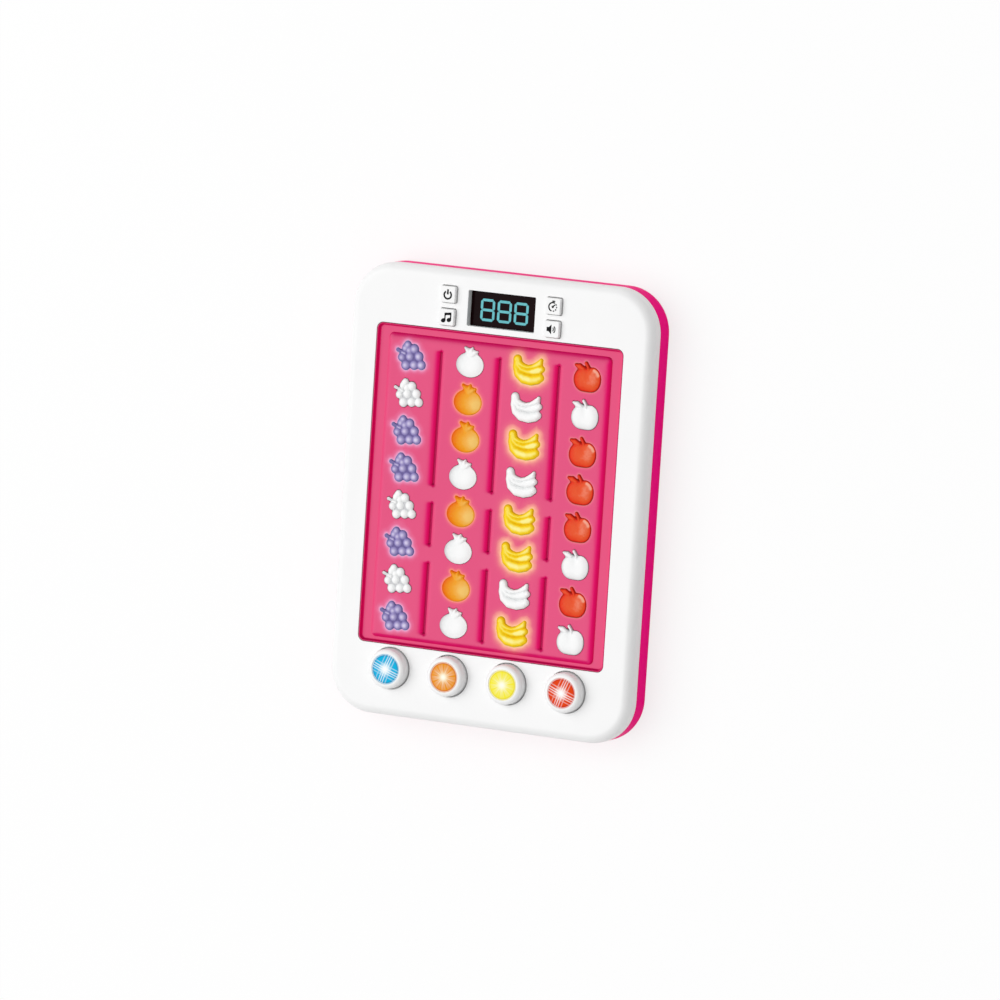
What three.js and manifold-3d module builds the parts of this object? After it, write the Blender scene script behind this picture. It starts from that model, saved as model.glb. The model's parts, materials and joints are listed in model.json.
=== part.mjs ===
// Electronic rhythm game, lying on its back, in millimetres.
// +X runs to the right of the play face, +Y towards the display and +Z out of the play face.
// The origin is under the middle of the case, on the surface that the rubber feet stand on.

import * as THREE from 'three';
import { mergeVertices } from 'three/addons/utils/BufferGeometryUtils.js';
import Module from 'manifold-3d';

const wasm = await Module();
wasm.setup();

// Driving dimensions

// Lanes of fruit windows
const COLUMN_COUNT = 4;
const ROW_COUNT = 8;
const COLUMN_PITCH = 26.75;
const ROW_PITCH = 15.33;
const LANE_OFFSET = 0.45;

// Panel: a tray with a rim, a border channel and a raised field that carries the lanes
const FIELD_SIDE_MARGIN = 8.5;
const FIELD_TOP_MARGIN = 7.52;
const FIELD_BOTTOM_MARGIN = 7.72;
const FIELD_DRAFT = 1.6;
const CHANNEL_SIDE_WIDTH = 4.5;
const CHANNEL_TOP_WIDTH = 2.5;
const CHANNEL_BOTTOM_WIDTH = 1.25;
const CHANNEL_DEPTH = 1.5;
const RIM_LAND = 0.3;
const RIM_DRAFT = 0.65;
const RIM_DROP = 0.2;
const FIELD_DROP = 0.1;
const PANEL_CORNER_RADIUS = 2.6;
const FIELD_CORNER_RADIUS = 0.6;
const PANEL_FLOOR = 2.1;
const PANEL_LIP = 0.9;
const PANEL_CLEARANCE = 0.25;

// Grooves between the lanes, each broken by two bridges
const GROOVE_FLOOR_WIDTH = 0.6;
const GROOVE_DRAFT = 1.7;
const GROOVE_DEPTH = 1.35;
const GROOVE_TOP_INSET = 3.2;
const GROOVE_BOTTOM_INSET = 0.4;
const GROOVE_BRIDGE = 5.2;
const GROOVE_BRIDGE_SHARES = [0.512, 0.713];

// Fruit windows
const STRIP_WIDTH = 21;
const STRIP_THICKNESS = 1.2;
const STRIP_GAP_TO_FIELD_END = 0.8;
const FRUIT_CLEARANCE = 0.3;
const FRUIT_WALL_RISE = 0.7;
const FRUIT_DOME_RISE = 0.9;
const GRAPE_WIDTH = 13.8;
const GRAPE_HEIGHT = 12;
const GRAPE_BERRY_RADIUS = 1.85;
const ORANGE_WIDTH = 12.6;
const ORANGE_HEIGHT = 13;
const BANANA_WIDTH = 14.4;
const BANANA_HEIGHT = 11.2;
const BANANA_THICKNESS = 1.9;
const APPLE_WIDTH = 12.6;
const APPLE_HEIGHT = 12.2;

// Case
const CASE_SIDE_FRAME = 12.6;
const CASE_HEADER = 24.55;
const CASE_FOOTER = 29.65;
const CASE_CORNER_RADIUS = 18.5;
const FRONT_DEPTH = 7.25;
const REAR_DEPTH = 11;
const FRONT_EDGE_ROUND = 3.8;
const REAR_EDGE_ROUND = 4.1;
const FRONT_WALL = 2.2;
const REAR_WALL = 2;
const SIDE_WALL = 2;
const TONGUE_THICKNESS = 1;
const TONGUE_HEIGHT = 1.5;
const TONGUE_CLEARANCE = 0.3;

// Display
const DISPLAY_RISE = 9.7;
const DISPLAY_OPENING_WIDTH = 30.4;
const DISPLAY_OPENING_HEIGHT = 14.5;
const DISPLAY_OPENING_RADIUS = 0.5;
const DISPLAY_RECESS = 3;
const DISPLAY_COLLAR = 1.1;
const DISPLAY_WINDOW_LAP = 1.3;
const DISPLAY_WINDOW_THICKNESS = 1;
const DISPLAY_MODULE_WIDTH = 30.4;
const DISPLAY_MODULE_HEIGHT = 14;
const DISPLAY_MODULE_DEPTH = 6.5;

// Small square keys, two on each side of the display
const KEY_SIZE = 6.7;
const KEY_CORNER_RADIUS = 0.6;
const KEY_EDGE_ROUND = 0.35;
const KEY_RISE = 1.7;
const KEY_SIDE = 23.8;
const KEY_PITCH = 9.35;
const KEY_CLEARANCE = 0.3;
const KEY_FLANGE_LAP = 0.35;
const KEY_STEM_RADIUS = 1.5;
const KEY_DOME_HEIGHT = 4;
const KEY_DOME_RADIUS = 3.6;
const KEY_DOME_TOP_RADIUS = 1.9;

// Round play buttons, one under each column
const PLAY_WEB = 0.9;
const PLAY_CAP_RADIUS = 8.25;
const PLAY_CAP_CLEARANCE = 0.5;
const PLAY_CAP_RISE = 4.5;
const PLAY_CAP_EDGE_ROUND = 1.8;
const PLAY_CAP_WALL = 1.3;
const PLAY_CAP_LIP = 1;
const PLAY_FLANGE_LAP = 0.75;
const PLAY_LENS_RADIUS = 6.15;
const PLAY_LENS_CLEARANCE = 0.15;
const PLAY_LENS_SHOULDER = 0.5;
const PLAY_LENS_FLANGE = 1.2;
const PLAY_LENS_SINK = 0.15;
const PLAY_LENS_CROWN = 0.5;
const PLAY_DOME_FOOT_RADIUS = 8.6;
const PLAY_DOME_WALL = 0.9;
const PLAY_DOME_LEAN = 0.6;
const PLAY_DOME_FOOT_HEIGHT = 0.7;

// What the buttons and keys share
const FLANGE_THICKNESS = 1;
const DOME_WALL = 0.5;
const MOVING_GAP = 0.3;

// Boards and the light grid
const BOARD_THICKNESS = 1.6;
const BAFFLE_DEPTH = 3;
const BAFFLE_CELL_WIDTH = 18.6;
const BAFFLE_WALL = 2.6;
const LAMP_WIDTH = 3.2;
const LAMP_HEIGHT = 2.8;
const LAMP_RISE = 0.8;
const MAIN_BOARD_END_MARGIN = 4.6;
const MAIN_BOARD_HEIGHT = 19;
const PLAY_BOARD_SIDE_MARGIN = 9.5;
const PLAY_BOARD_HEIGHT = 17.8;
const PLAY_BOARD_TONGUE_WIDTH = 20;
const PLAY_BOARD_TONGUE_GAP = 0.5;

// Posts and screws
const POST_RADIUS = 2.2;
const POST_PILOT_RADIUS = 1.1;
const POST_PILOT_DEPTH = 3.4;
const POST_KEY_GAP = 0.9;
const POST_CLEARANCE = 0.4;
const BOARD_SCREW_RADIUS = 0.8;
const BOARD_SCREW_LENGTH = 4.6;
const BOARD_SCREW_HEAD_RADIUS = 2;
const BOARD_SCREW_HEAD_HEIGHT = 1.3;
const BOARD_HOLE_RADIUS = 1.15;
const FRONT_BOSS_RADIUS = 2.9;
const FRONT_BOSS_PILOT_RADIUS = 1.2;
const REAR_BOSS_RADIUS = 3.8;
const CORNER_BOSS_INSET = 10.5;
const SIDE_BOSS_GAP = 0.8;
const SHELL_SCREW_SEAT = 7;
const SHELL_SCREW_WELL_RADIUS = 2.7;
const SHELL_SCREW_HOLE_RADIUS = 1.3;
const SHELL_SCREW_RADIUS = 0.9;
const SHELL_SCREW_HEAD_RADIUS = 2.35;
const SHELL_SCREW_HEAD_HEIGHT = 1.8;
const SHELL_SCREW_LENGTH = 7.8;
const SCREW_SLOT_WIDTH = 0.6;
const SCREW_SLOT_DEPTH = 0.7;

// Sound, power and feet
const SPEAKER_RADIUS = 14;
const SPEAKER_DEPTH = 4.8;
const SPEAKER_FRAME_WIDTH = 1.6;
const SPEAKER_CONE_SINK = 1.4;
const SPEAKER_MAGNET_RADIUS = 8;
const SPEAKER_RISE_ABOVE_CENTRE = 36;
const SPEAKER_RING_CLEARANCE = 0.3;
const SPEAKER_RING_WALL = 1.2;
const SPEAKER_RING_HEIGHT = 2.5;
const GRILLE_SLOT_COUNT = 7;
const GRILLE_SLOT_WIDTH = 1.5;
const GRILLE_SLOT_PITCH = 3.2;
const GRILLE_RADIUS = 11.5;
const BATTERY_WIDTH = 34;
const BATTERY_LENGTH = 50;
const BATTERY_THICKNESS = 5;
const BATTERY_CORNER_RADIUS = 2;
const BATTERY_BELOW_CENTRE = 16;
const SOCKET_WIDTH = 9;
const SOCKET_HEIGHT = 3.2;
const SOCKET_DEPTH = 7.3;
const SOCKET_SHELL = 0.35;
const SOCKET_FLOOR = 1.5;
const SOCKET_TONGUE_WIDTH = 6.4;
const SOCKET_TONGUE_THICKNESS = 0.7;
const SOCKET_TONGUE_SETBACK = 0.6;
const SOCKET_WALL_GAP = 0.3;
const SOCKET_PORT_CLEARANCE = 0.35;
const FOOT_RADIUS = 5;
const FOOT_HEIGHT = 1;
const FOOT_INSET = 20;
const FOOT_EDGE = 0.3;

// Ribbons and leads
const RIBBON_WIDTH = 12;
const RIBBON_THICKNESS = 0.4;
const RIBBON_GAP = 0.1;
const RIBBON_OVERLAP = 2.5;
const RIBBON_DIP = 1.2;
const LEAD_RADIUS = 0.7;
const LEAD_GAP = 0.2;
const LEAD_DETOUR = 20;

// Overrun of every cut past the face it opens
const OVERRUN = 1;

// Facets
const CORNER_STEPS = 6;
const SMALL_CORNER_STEPS = 2;
const ROUND_STEPS = 2;
const CAP_STEPS = 16;
const BORE_STEPS = 10;
const SCREW_STEPS = 6;
const DOME_STEPS = 10;
const DISC_STEPS = 14;
const BERRY_STEPS = 6;
const BERRY_RINGS = 2;
const LOBE_STEPS = 10;
const LOBE_RINGS = 4;
const SKIN_STEPS = 10;
const TUBE_SIDES = 4;
const TUBE_STEPS = 3;
const LEAD_STEPS = 10;

// Places that follow from the driving dimensions
const columnSpan = (COLUMN_COUNT - 1) * COLUMN_PITCH;
const rowSpan = (ROW_COUNT - 1) * ROW_PITCH;
const fieldWidth = columnSpan + 2 * FIELD_SIDE_MARGIN;
const fieldHeight = rowSpan + FIELD_TOP_MARGIN + FIELD_BOTTOM_MARGIN;
const channelFloorWidth = fieldWidth + 2 * (FIELD_DRAFT + CHANNEL_SIDE_WIDTH);
const channelFloorHeight = fieldHeight + 2 * FIELD_DRAFT + CHANNEL_TOP_WIDTH + CHANNEL_BOTTOM_WIDTH;
const rimWidth = RIM_DRAFT + RIM_LAND;
const trayWidth = channelFloorWidth + 2 * rimWidth;
const trayHeight = channelFloorHeight + 2 * rimWidth;
const openingWidth = trayWidth + 2 * PANEL_CLEARANCE;
const openingHeight = trayHeight + 2 * PANEL_CLEARANCE;
const caseWidth = openingWidth + 2 * CASE_SIDE_FRAME;
const caseHeight = openingHeight + CASE_HEADER + CASE_FOOTER;
const panelY = (CASE_FOOTER - CASE_HEADER) / 2;
const panelTop = panelY + openingHeight / 2;
const panelBottom = panelY - openingHeight / 2;
const fieldY = panelY + (CHANNEL_BOTTOM_WIDTH - CHANNEL_TOP_WIDTH) / 2;
const topRowY = fieldY + fieldHeight / 2 - FIELD_TOP_MARGIN;

const backZ = FOOT_HEIGHT;
const rearFloorZ = backZ + REAR_WALL;
const partingZ = backZ + REAR_DEPTH;
const faceZ = partingZ + FRONT_DEPTH;
const underFaceZ = faceZ - FRONT_WALL;
const channelZ = faceZ - CHANNEL_DEPTH;
const fieldZ = faceZ - FIELD_DROP;
const panelUnderZ = channelZ - PANEL_FLOOR;
const stripUnderZ = panelUnderZ - STRIP_THICKNESS;
const lampBoardTopZ = stripUnderZ - BAFFLE_DEPTH;
const lampBoardUnderZ = lampBoardTopZ - BOARD_THICKNESS;
const windowTopZ = faceZ - DISPLAY_RECESS;
const windowUnderZ = windowTopZ - DISPLAY_WINDOW_THICKNESS;
const mainBoardTopZ = windowUnderZ - DISPLAY_MODULE_DEPTH;
const mainBoardUnderZ = mainBoardTopZ - BOARD_THICKNESS;
const flangeTopZ = underFaceZ - MOVING_GAP;
const flangeUnderZ = flangeTopZ - FLANGE_THICKNESS;

const displayY = panelTop + DISPLAY_RISE;
const playHoleRadius = PLAY_CAP_RADIUS + PLAY_CAP_CLEARANCE;
const playFlangeRadius = playHoleRadius + PLAY_FLANGE_LAP;
const playY = panelBottom - PLAY_WEB - playHoleRadius;
const keyHoleSize = KEY_SIZE + 2 * KEY_CLEARANCE;
const keyFlangeSize = keyHoleSize + 2 * KEY_FLANGE_LAP;
const mainPostX = KEY_SIDE + keyFlangeSize / 2 + POST_KEY_GAP + POST_RADIUS;
const mainBoardWidth = 2 * (mainPostX + MAIN_BOARD_END_MARGIN);
const innerWidth = caseWidth - 2 * SIDE_WALL;
const innerHeight = caseHeight - 2 * SIDE_WALL;
const innerRadius = CASE_CORNER_RADIUS - SIDE_WALL;
const plateWidth = trayWidth + 2 * PANEL_LIP;
const plateHeight = trayHeight + 2 * PANEL_LIP;
const plateRadius = PANEL_CORNER_RADIUS + PANEL_LIP;
const lampBoardWidth = columnSpan + STRIP_WIDTH;
const lampBoardHeight = fieldHeight - 2 * STRIP_GAP_TO_FIELD_END;
const speakerY = SPEAKER_RISE_ABOVE_CENTRE;
const batteryY = -BATTERY_BELOW_CENTRE;

const playXs = Array.from({ length: COLUMN_COUNT }, (_, i) => i * COLUMN_PITCH - columnSpan / 2);
const columnXs = playXs.map((x) => x + LANE_OFFSET);
const rowYs = Array.from({ length: ROW_COUNT }, (_, i) => topRowY - i * ROW_PITCH);
const laneXs = columnXs.slice(1).map((x) => x - COLUMN_PITCH / 2);
const outerLaneXs = [laneXs[0], laneXs[laneXs.length - 1]];

const keySides = [-1, 1];
const shellScrewPlaces = shellScrewPoints();
const lampPostPlaces = lampPostPoints();
const mainPostPlaces = [-mainPostX, mainPostX].map((x) => [x, displayY]);
const playPostPlaces = outerLaneXs.map((x) => [x - LANE_OFFSET, playY]);

// Outlines of the fruits, as shares of each fruit's width and height from its centre

const GRAPE_OUTLINE_SHARES = [
  [0.47, -0.27], [0.38, -0.06], [0.38, 0.07], [0.25, 0.19], [0.2, 0.36], [-0.1, 0.51], [-0.31, 0.42],
  [-0.37, 0.22], [-0.51, 0.24], [-0.52, 0.14], [-0.38, 0.07], [-0.44, -0.13], [-0.34, -0.25],
  [-0.35, -0.38], [-0.22, -0.48], [0.01, -0.43], [0.16, -0.45], [0.42, -0.43],
];
const GRAPE_BERRY_SHARES = [
  [0.1, 0.26], [0.25, 0.01], [0.345, -0.26], [-0.045, -0.04], [0.11, -0.28], [-0.19, -0.31],
  [-0.31, -0.09], [-0.15, 0.31],
];
const ORANGE_BODY_SHARES = { centre: [0.01, -0.05], radii: [0.49, 0.405], gap: 0.15 };
const ORANGE_CROWN_SHARES = [[0.23, 0.44], [0.11, 0.4], [0.04, 0.54], [-0.06, 0.42], [-0.21, 0.52]];
const BANANA_OUTLINE_SHARES = [
  [0.36, 0.5], [0.22, 0.29], [0, 0.21], [-0.2, 0.33], [-0.28, 0.52], [-0.46, 0.47], [-0.48, 0.15],
  [-0.42, -0.22], [-0.22, -0.43], [0.1, -0.48], [0.35, -0.39], [0.48, -0.18], [0.44, -0.08],
  [0.5, 0.2], [0.42, 0.31], [0.43, 0.42],
];
const BANANA_RIDGE_SHARES = [
  [[-0.34, 0.36], [-0.1, -0.08], [0.35, 0.32]],
  [[-0.36, 0.24], [-0.16, -0.28], [0.4, 0.08]],
  [[-0.38, 0.14], [-0.26, -0.54], [0.36, -0.24]],
];
const APPLE_OUTLINE_SHARES = [
  [0.49, 0.02], [0.44, 0.27], [0.27, 0.39], [0.05, 0.34], [-0.05, 0.52], [-0.13, 0.5], [-0.13, 0.4],
  [-0.3, 0.45], [-0.46, 0.41], [-0.4, 0.31], [-0.49, 0.02], [-0.41, -0.32], [-0.2, -0.48],
  [0.02, -0.46], [0.24, -0.46], [0.42, -0.27],
];
const APPLE_DOME_SHARES = { centre: [0, -0.04], radii: [0.43, 0.38] };
const ORANGE_DOME_SHARES = { centre: [0.01, -0.05], radii: [0.43, 0.35] };

// Solids

function solidFrom(geometry) {
  const bare = geometry.index ? geometry.toNonIndexed() : geometry.clone();
  bare.deleteAttribute('normal');
  bare.deleteAttribute('uv');
  const merged = mergeVertices(bare);
  const corners = merged.index.array;
  const faces = [];
  for (let i = 0; i < corners.length; i += 3) {
    const [a, b, c] = corners.slice(i, i + 3);
    if (a !== b && b !== c && c !== a) {
      faces.push(a, b, c);
    }
  }
  const mesh = new wasm.Mesh({
    numProp: 3,
    vertProperties: merged.attributes.position.array,
    triVerts: new Uint32Array(faces),
  });
  return new wasm.Manifold(mesh);
}

function geometryFrom(solid) {
  const mesh = solid.getMesh();
  const indexed = new THREE.BufferGeometry();
  indexed.setAttribute('position', new THREE.BufferAttribute(mesh.vertProperties.slice(), 3));
  indexed.setIndex(new THREE.BufferAttribute(mesh.triVerts.slice(), 1));
  const faceted = indexed.toNonIndexed();
  faceted.computeVertexNormals();
  return faceted;
}

function joined(solids) {
  return solids.reduce((whole, piece) => whole.add(piece));
}

function withCuts(solid, cutters) {
  return solid.subtract(joined(cutters));
}

// A straight-sided solid between two heights
function prism(shape, bottom, top, x = 0, y = 0, cornerSteps = SMALL_CORNER_STEPS) {
  const geometry = new THREE.ExtrudeGeometry(shape, {
    depth: top - bottom,
    bevelEnabled: false,
    curveSegments: cornerSteps,
  });
  geometry.translate(x, y, bottom);
  return solidFrom(geometry);
}

// A solid that keeps the shape at both ends and stands out by the flare's width between them
function flaredPrism(shape, bottom, top, flare, x = 0, y = 0) {
  const geometry = new THREE.ExtrudeGeometry(shape, {
    depth: top - bottom - 2 * flare.height,
    bevelEnabled: true,
    bevelThickness: flare.height,
    bevelSize: flare.width,
    bevelSegments: flare.steps,
    curveSegments: flare.cornerSteps,
  });
  geometry.translate(x, y, bottom + flare.height);
  return solidFrom(geometry);
}

// A turned solid from [radius, height] points
function turned(points, steps, x = 0, y = 0) {
  const geometry = new THREE.LatheGeometry(points.map(([r, z]) => new THREE.Vector2(r, z)), steps);
  geometry.rotateX(Math.PI / 2);
  geometry.translate(x, y, 0);
  return solidFrom(geometry);
}

function cylinder(radius, bottom, top, x, y, steps = BORE_STEPS) {
  return turned([[0, bottom], [radius, bottom], [radius, top], [0, top]], steps, x, y);
}

// A flattened ball whose middle lies at the given height
function lobe(radii, height, x, y, steps, rings) {
  const geometry = new THREE.SphereGeometry(1, steps, rings);
  geometry.rotateX(Math.PI / 2);
  geometry.scale(...radii);
  geometry.translate(x, y, height);
  return solidFrom(geometry);
}

function roundedRect(width, height, radius) {
  const x = width / 2 - radius;
  const y = height / 2 - radius;
  const shape = new THREE.Shape();
  shape.absarc(x, y, radius, 0, Math.PI / 2);
  shape.absarc(-x, y, radius, Math.PI / 2, Math.PI);
  shape.absarc(-x, -y, radius, Math.PI, 1.5 * Math.PI);
  shape.absarc(x, -y, radius, 1.5 * Math.PI, 2 * Math.PI);
  shape.closePath();
  return shape;
}

function rect(width, height) {
  const corners = [[1, 1], [-1, 1], [-1, -1], [1, -1]];
  return new THREE.Shape(corners.map(([x, y]) => new THREE.Vector2((x * width) / 2, (y * height) / 2)));
}

function grown(points, distance) {
  return points.map((point, i) => {
    const before = points[(i + points.length - 1) % points.length];
    const after = points[(i + 1) % points.length];
    const along = after.clone().sub(before).normalize();
    return new THREE.Vector2(point.x + along.y * distance, point.y - along.x * distance);
  });
}

function sharesToPoints(shares, width, height) {
  return shares.map(([x, y]) => new THREE.Vector2(x * width, y * height));
}

// Fruit outlines, counterclockwise

function orangeOutline() {
  const [cx, cy] = ORANGE_BODY_SHARES.centre;
  const [rx, ry] = ORANGE_BODY_SHARES.radii;
  const start = Math.PI * (0.5 + ORANGE_BODY_SHARES.gap);
  const sweep = 2 * Math.PI * (1 - ORANGE_BODY_SHARES.gap);
  const body = Array.from({ length: SKIN_STEPS }, (_, i) => {
    const angle = start + (sweep * i) / (SKIN_STEPS - 1);
    return [cx + rx * Math.cos(angle), cy + ry * Math.sin(angle)];
  });
  return sharesToPoints([...body, ...ORANGE_CROWN_SHARES], ORANGE_WIDTH, ORANGE_HEIGHT);
}

function fruitOutline(kind) {
  const outlines = {
    grape: () => sharesToPoints(GRAPE_OUTLINE_SHARES, GRAPE_WIDTH, GRAPE_HEIGHT),
    orange: orangeOutline,
    banana: () => sharesToPoints(BANANA_OUTLINE_SHARES, BANANA_WIDTH, BANANA_HEIGHT),
    apple: () => sharesToPoints(APPLE_OUTLINE_SHARES, APPLE_WIDTH, APPLE_HEIGHT),
  };
  return outlines[kind]();
}

// The domed relief that stands on each fruit's flat top

function grapeRelief(x, y, z) {
  const radii = [GRAPE_BERRY_RADIUS, GRAPE_BERRY_RADIUS, FRUIT_DOME_RISE];
  return GRAPE_BERRY_SHARES.map(([sx, sy]) =>
    lobe(radii, z, x + sx * GRAPE_WIDTH, y + sy * GRAPE_HEIGHT, BERRY_STEPS, BERRY_RINGS));
}

function bananaRelief(x, y, z) {
  const section = new THREE.Shape(Array.from({ length: TUBE_SIDES }, (_, i) => {
    const angle = (2 * Math.PI * i) / TUBE_SIDES;
    return new THREE.Vector2(Math.cos(angle) * FRUIT_DOME_RISE, (Math.sin(angle) * BANANA_THICKNESS) / 2);
  }));
  return BANANA_RIDGE_SHARES.map((shares) => {
    const [start, bend, end] = shares.map(([sx, sy]) =>
      new THREE.Vector3(x + sx * BANANA_WIDTH, y + sy * BANANA_HEIGHT, z));
    const path = new THREE.QuadraticBezierCurve3(start, bend, end);
    return solidFrom(new THREE.ExtrudeGeometry(section, { steps: TUBE_STEPS, extrudePath: path }));
  });
}

function domeRelief(shares, width, height, x, y, z) {
  const [cx, cy] = shares.centre;
  const [rx, ry] = shares.radii;
  const radii = [rx * width, ry * height, FRUIT_DOME_RISE];
  return [lobe(radii, z, x + cx * width, y + cy * height, LOBE_STEPS, LOBE_RINGS)];
}

const fruitReliefs = {
  grape: grapeRelief,
  orange: (x, y, z) => domeRelief(ORANGE_DOME_SHARES, ORANGE_WIDTH, ORANGE_HEIGHT, x, y, z),
  banana: bananaRelief,
  apple: (x, y, z) => domeRelief(APPLE_DOME_SHARES, APPLE_WIDTH, APPLE_HEIGHT, x, y, z),
};
const fruitKinds = ['grape', 'orange', 'banana', 'apple'];

// Where the screws and posts stand

function shellScrewPoints() {
  const cornerX = caseWidth / 2 - CORNER_BOSS_INSET;
  const cornerY = caseHeight / 2 - CORNER_BOSS_INSET;
  const sideX = plateWidth / 2 + SIDE_BOSS_GAP + FRONT_BOSS_RADIUS;
  return [
    [-cornerX, cornerY], [cornerX, cornerY], [-sideX, panelY],
    [sideX, panelY], [-cornerX, -cornerY], [cornerX, -cornerY],
  ];
}

// Between the outer columns, a quarter of the way in from the first and last rows
function lampPostPoints() {
  const quarter = Math.floor(ROW_COUNT / 4);
  const upper = rowYs[quarter - 1] - ROW_PITCH / 2;
  const lower = rowYs[ROW_COUNT - quarter] + ROW_PITCH / 2;
  return outerLaneXs.flatMap((x) => [[x, upper], [x, lower]]);
}

// Case

function roundedEdge(radius) {
  return { height: radius, width: radius, steps: ROUND_STEPS, cornerSteps: CORNER_STEPS };
}

function frontShell() {
  const inset = 2 * FRONT_EDGE_ROUND;
  const core = roundedRect(caseWidth - inset, caseHeight - inset, CASE_CORNER_RADIUS - FRONT_EDGE_ROUND);
  const hidden = partingZ - FRONT_EDGE_ROUND - OVERRUN;
  const block = flaredPrism(core, hidden, faceZ, roundedEdge(FRONT_EDGE_ROUND));
  const inner = roundedRect(innerWidth, innerHeight, innerRadius);
  const below = prism(rect(2 * caseWidth, 2 * caseHeight), hidden - OVERRUN, partingZ);
  const hollow = prism(inner, partingZ - OVERRUN, underFaceZ, 0, 0, CORNER_STEPS);
  const shell = block.subtract(below).subtract(hollow);
  const withPosts = joined([shell, displayCollar(), ...frontPosts()]);
  return withCuts(withPosts, [...frontOpenings(), ...frontPilots()]);
}

function displayCollar() {
  const width = DISPLAY_OPENING_WIDTH + 2 * DISPLAY_COLLAR;
  const height = DISPLAY_OPENING_HEIGHT + 2 * DISPLAY_COLLAR;
  return prism(rect(width, height), windowTopZ, faceZ - FRONT_WALL / 2, 0, displayY);
}

function frontPosts() {
  const rooted = faceZ - FRONT_WALL / 2;
  const bosses = shellScrewPlaces.map(([x, y]) => cylinder(FRONT_BOSS_RADIUS, partingZ, rooted, x, y));
  const mainPosts = mainPostPlaces.map(([x, y]) => cylinder(POST_RADIUS, mainBoardTopZ, rooted, x, y));
  const playPosts = playPostPlaces.map(([x, y]) => cylinder(POST_RADIUS, lampBoardTopZ, rooted, x, y));
  return [...bosses, ...mainPosts, ...playPosts];
}

function frontPilots() {
  const bosses = shellScrewPlaces.map(([x, y]) =>
    cylinder(FRONT_BOSS_PILOT_RADIUS, partingZ - OVERRUN, underFaceZ, x, y, SCREW_STEPS));
  const mainPosts = mainPostPlaces.map(([x, y]) => postPilot(mainBoardTopZ, x, y));
  const playPosts = playPostPlaces.map(([x, y]) => postPilot(lampBoardTopZ, x, y));
  return [...bosses, ...mainPosts, ...playPosts];
}

function postPilot(postFootZ, x, y) {
  return cylinder(POST_PILOT_RADIUS, postFootZ - OVERRUN, postFootZ + POST_PILOT_DEPTH, x, y, SCREW_STEPS);
}

function frontOpenings() {
  const top = faceZ + OVERRUN;
  const bottom = windowTopZ - OVERRUN;
  const panel = roundedRect(openingWidth, openingHeight, PANEL_CORNER_RADIUS + PANEL_CLEARANCE);
  const display = roundedRect(DISPLAY_OPENING_WIDTH, DISPLAY_OPENING_HEIGHT, DISPLAY_OPENING_RADIUS);
  const key = roundedRect(keyHoleSize, keyHoleSize, KEY_CORNER_RADIUS + KEY_CLEARANCE);
  return [
    prism(panel, bottom, top, 0, panelY),
    prism(display, bottom, top, 0, displayY),
    ...keyPlaces().map(([x, y]) => prism(key, bottom, top, x, y, 1)),
    ...playXs.map((x) => cylinder(playHoleRadius, bottom, top, x, playY, CAP_STEPS)),
  ];
}

function keyPlaces() {
  return keySides.flatMap((side) =>
    [1, -1].map((row) => [side * KEY_SIDE, displayY + (row * KEY_PITCH) / 2]));
}

function rearShell() {
  const inset = 2 * REAR_EDGE_ROUND;
  const core = roundedRect(caseWidth - inset, caseHeight - inset, CASE_CORNER_RADIUS - REAR_EDGE_ROUND);
  const hidden = partingZ + REAR_EDGE_ROUND + OVERRUN;
  const block = flaredPrism(core, backZ, hidden, roundedEdge(REAR_EDGE_ROUND));
  const above = prism(rect(2 * caseWidth, 2 * caseHeight), partingZ, hidden + OVERRUN);
  const inner = roundedRect(innerWidth, innerHeight, innerRadius);
  const hollow = prism(inner, rearFloorZ, partingZ + OVERRUN, 0, 0, CORNER_STEPS);
  const bosses = shellScrewPlaces.map(([x, y]) =>
    cylinder(REAR_BOSS_RADIUS, backZ + REAR_WALL / 2, partingZ, x, y));
  const shell = joined([block.subtract(above).subtract(hollow), tongue(), speakerRing(), ...bosses]);
  return withCuts(shell, [...screwWells(), ...grilleSlots(), chargePort()]);
}

// The thin wall that stands up inside the front half, so that the two halves meet in register
function tongue() {
  const gap = 2 * TONGUE_CLEARANCE;
  const wall = 2 * TONGUE_THICKNESS;
  const outer = roundedRect(innerWidth - gap, innerHeight - gap, innerRadius - TONGUE_CLEARANCE);
  const inner = roundedRect(
    innerWidth - gap - wall,
    innerHeight - gap - wall,
    innerRadius - TONGUE_CLEARANCE - TONGUE_THICKNESS,
  );
  const foot = partingZ - TONGUE_HEIGHT;
  const root = roundedRect(innerWidth + SIDE_WALL, innerHeight + SIDE_WALL, innerRadius + SIDE_WALL / 2);
  const plinth = prism(root, foot, partingZ, 0, 0, CORNER_STEPS);
  const standing = prism(outer, foot, partingZ + TONGUE_HEIGHT, 0, 0, CORNER_STEPS);
  const middle = prism(inner, foot - OVERRUN, partingZ + 2 * TONGUE_HEIGHT, 0, 0, CORNER_STEPS);
  return plinth.add(standing).subtract(middle);
}

function speakerRing() {
  const inner = SPEAKER_RADIUS + SPEAKER_RING_CLEARANCE;
  const outer = inner + SPEAKER_RING_WALL;
  const foot = backZ + REAR_WALL / 2;
  const head = rearFloorZ + SPEAKER_RING_HEIGHT;
  return turned([[inner, foot], [outer, foot], [outer, head], [inner, head], [inner, foot]],
    DISC_STEPS, 0, speakerY);
}

function screwWells() {
  const seat = backZ + SHELL_SCREW_SEAT;
  const wells = shellScrewPlaces.map(([x, y]) =>
    cylinder(SHELL_SCREW_WELL_RADIUS, backZ - OVERRUN, seat, x, y));
  const holes = shellScrewPlaces.map(([x, y]) =>
    cylinder(SHELL_SCREW_HOLE_RADIUS, seat - OVERRUN, partingZ + OVERRUN, x, y, SCREW_STEPS));
  return [...wells, ...holes];
}

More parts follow.
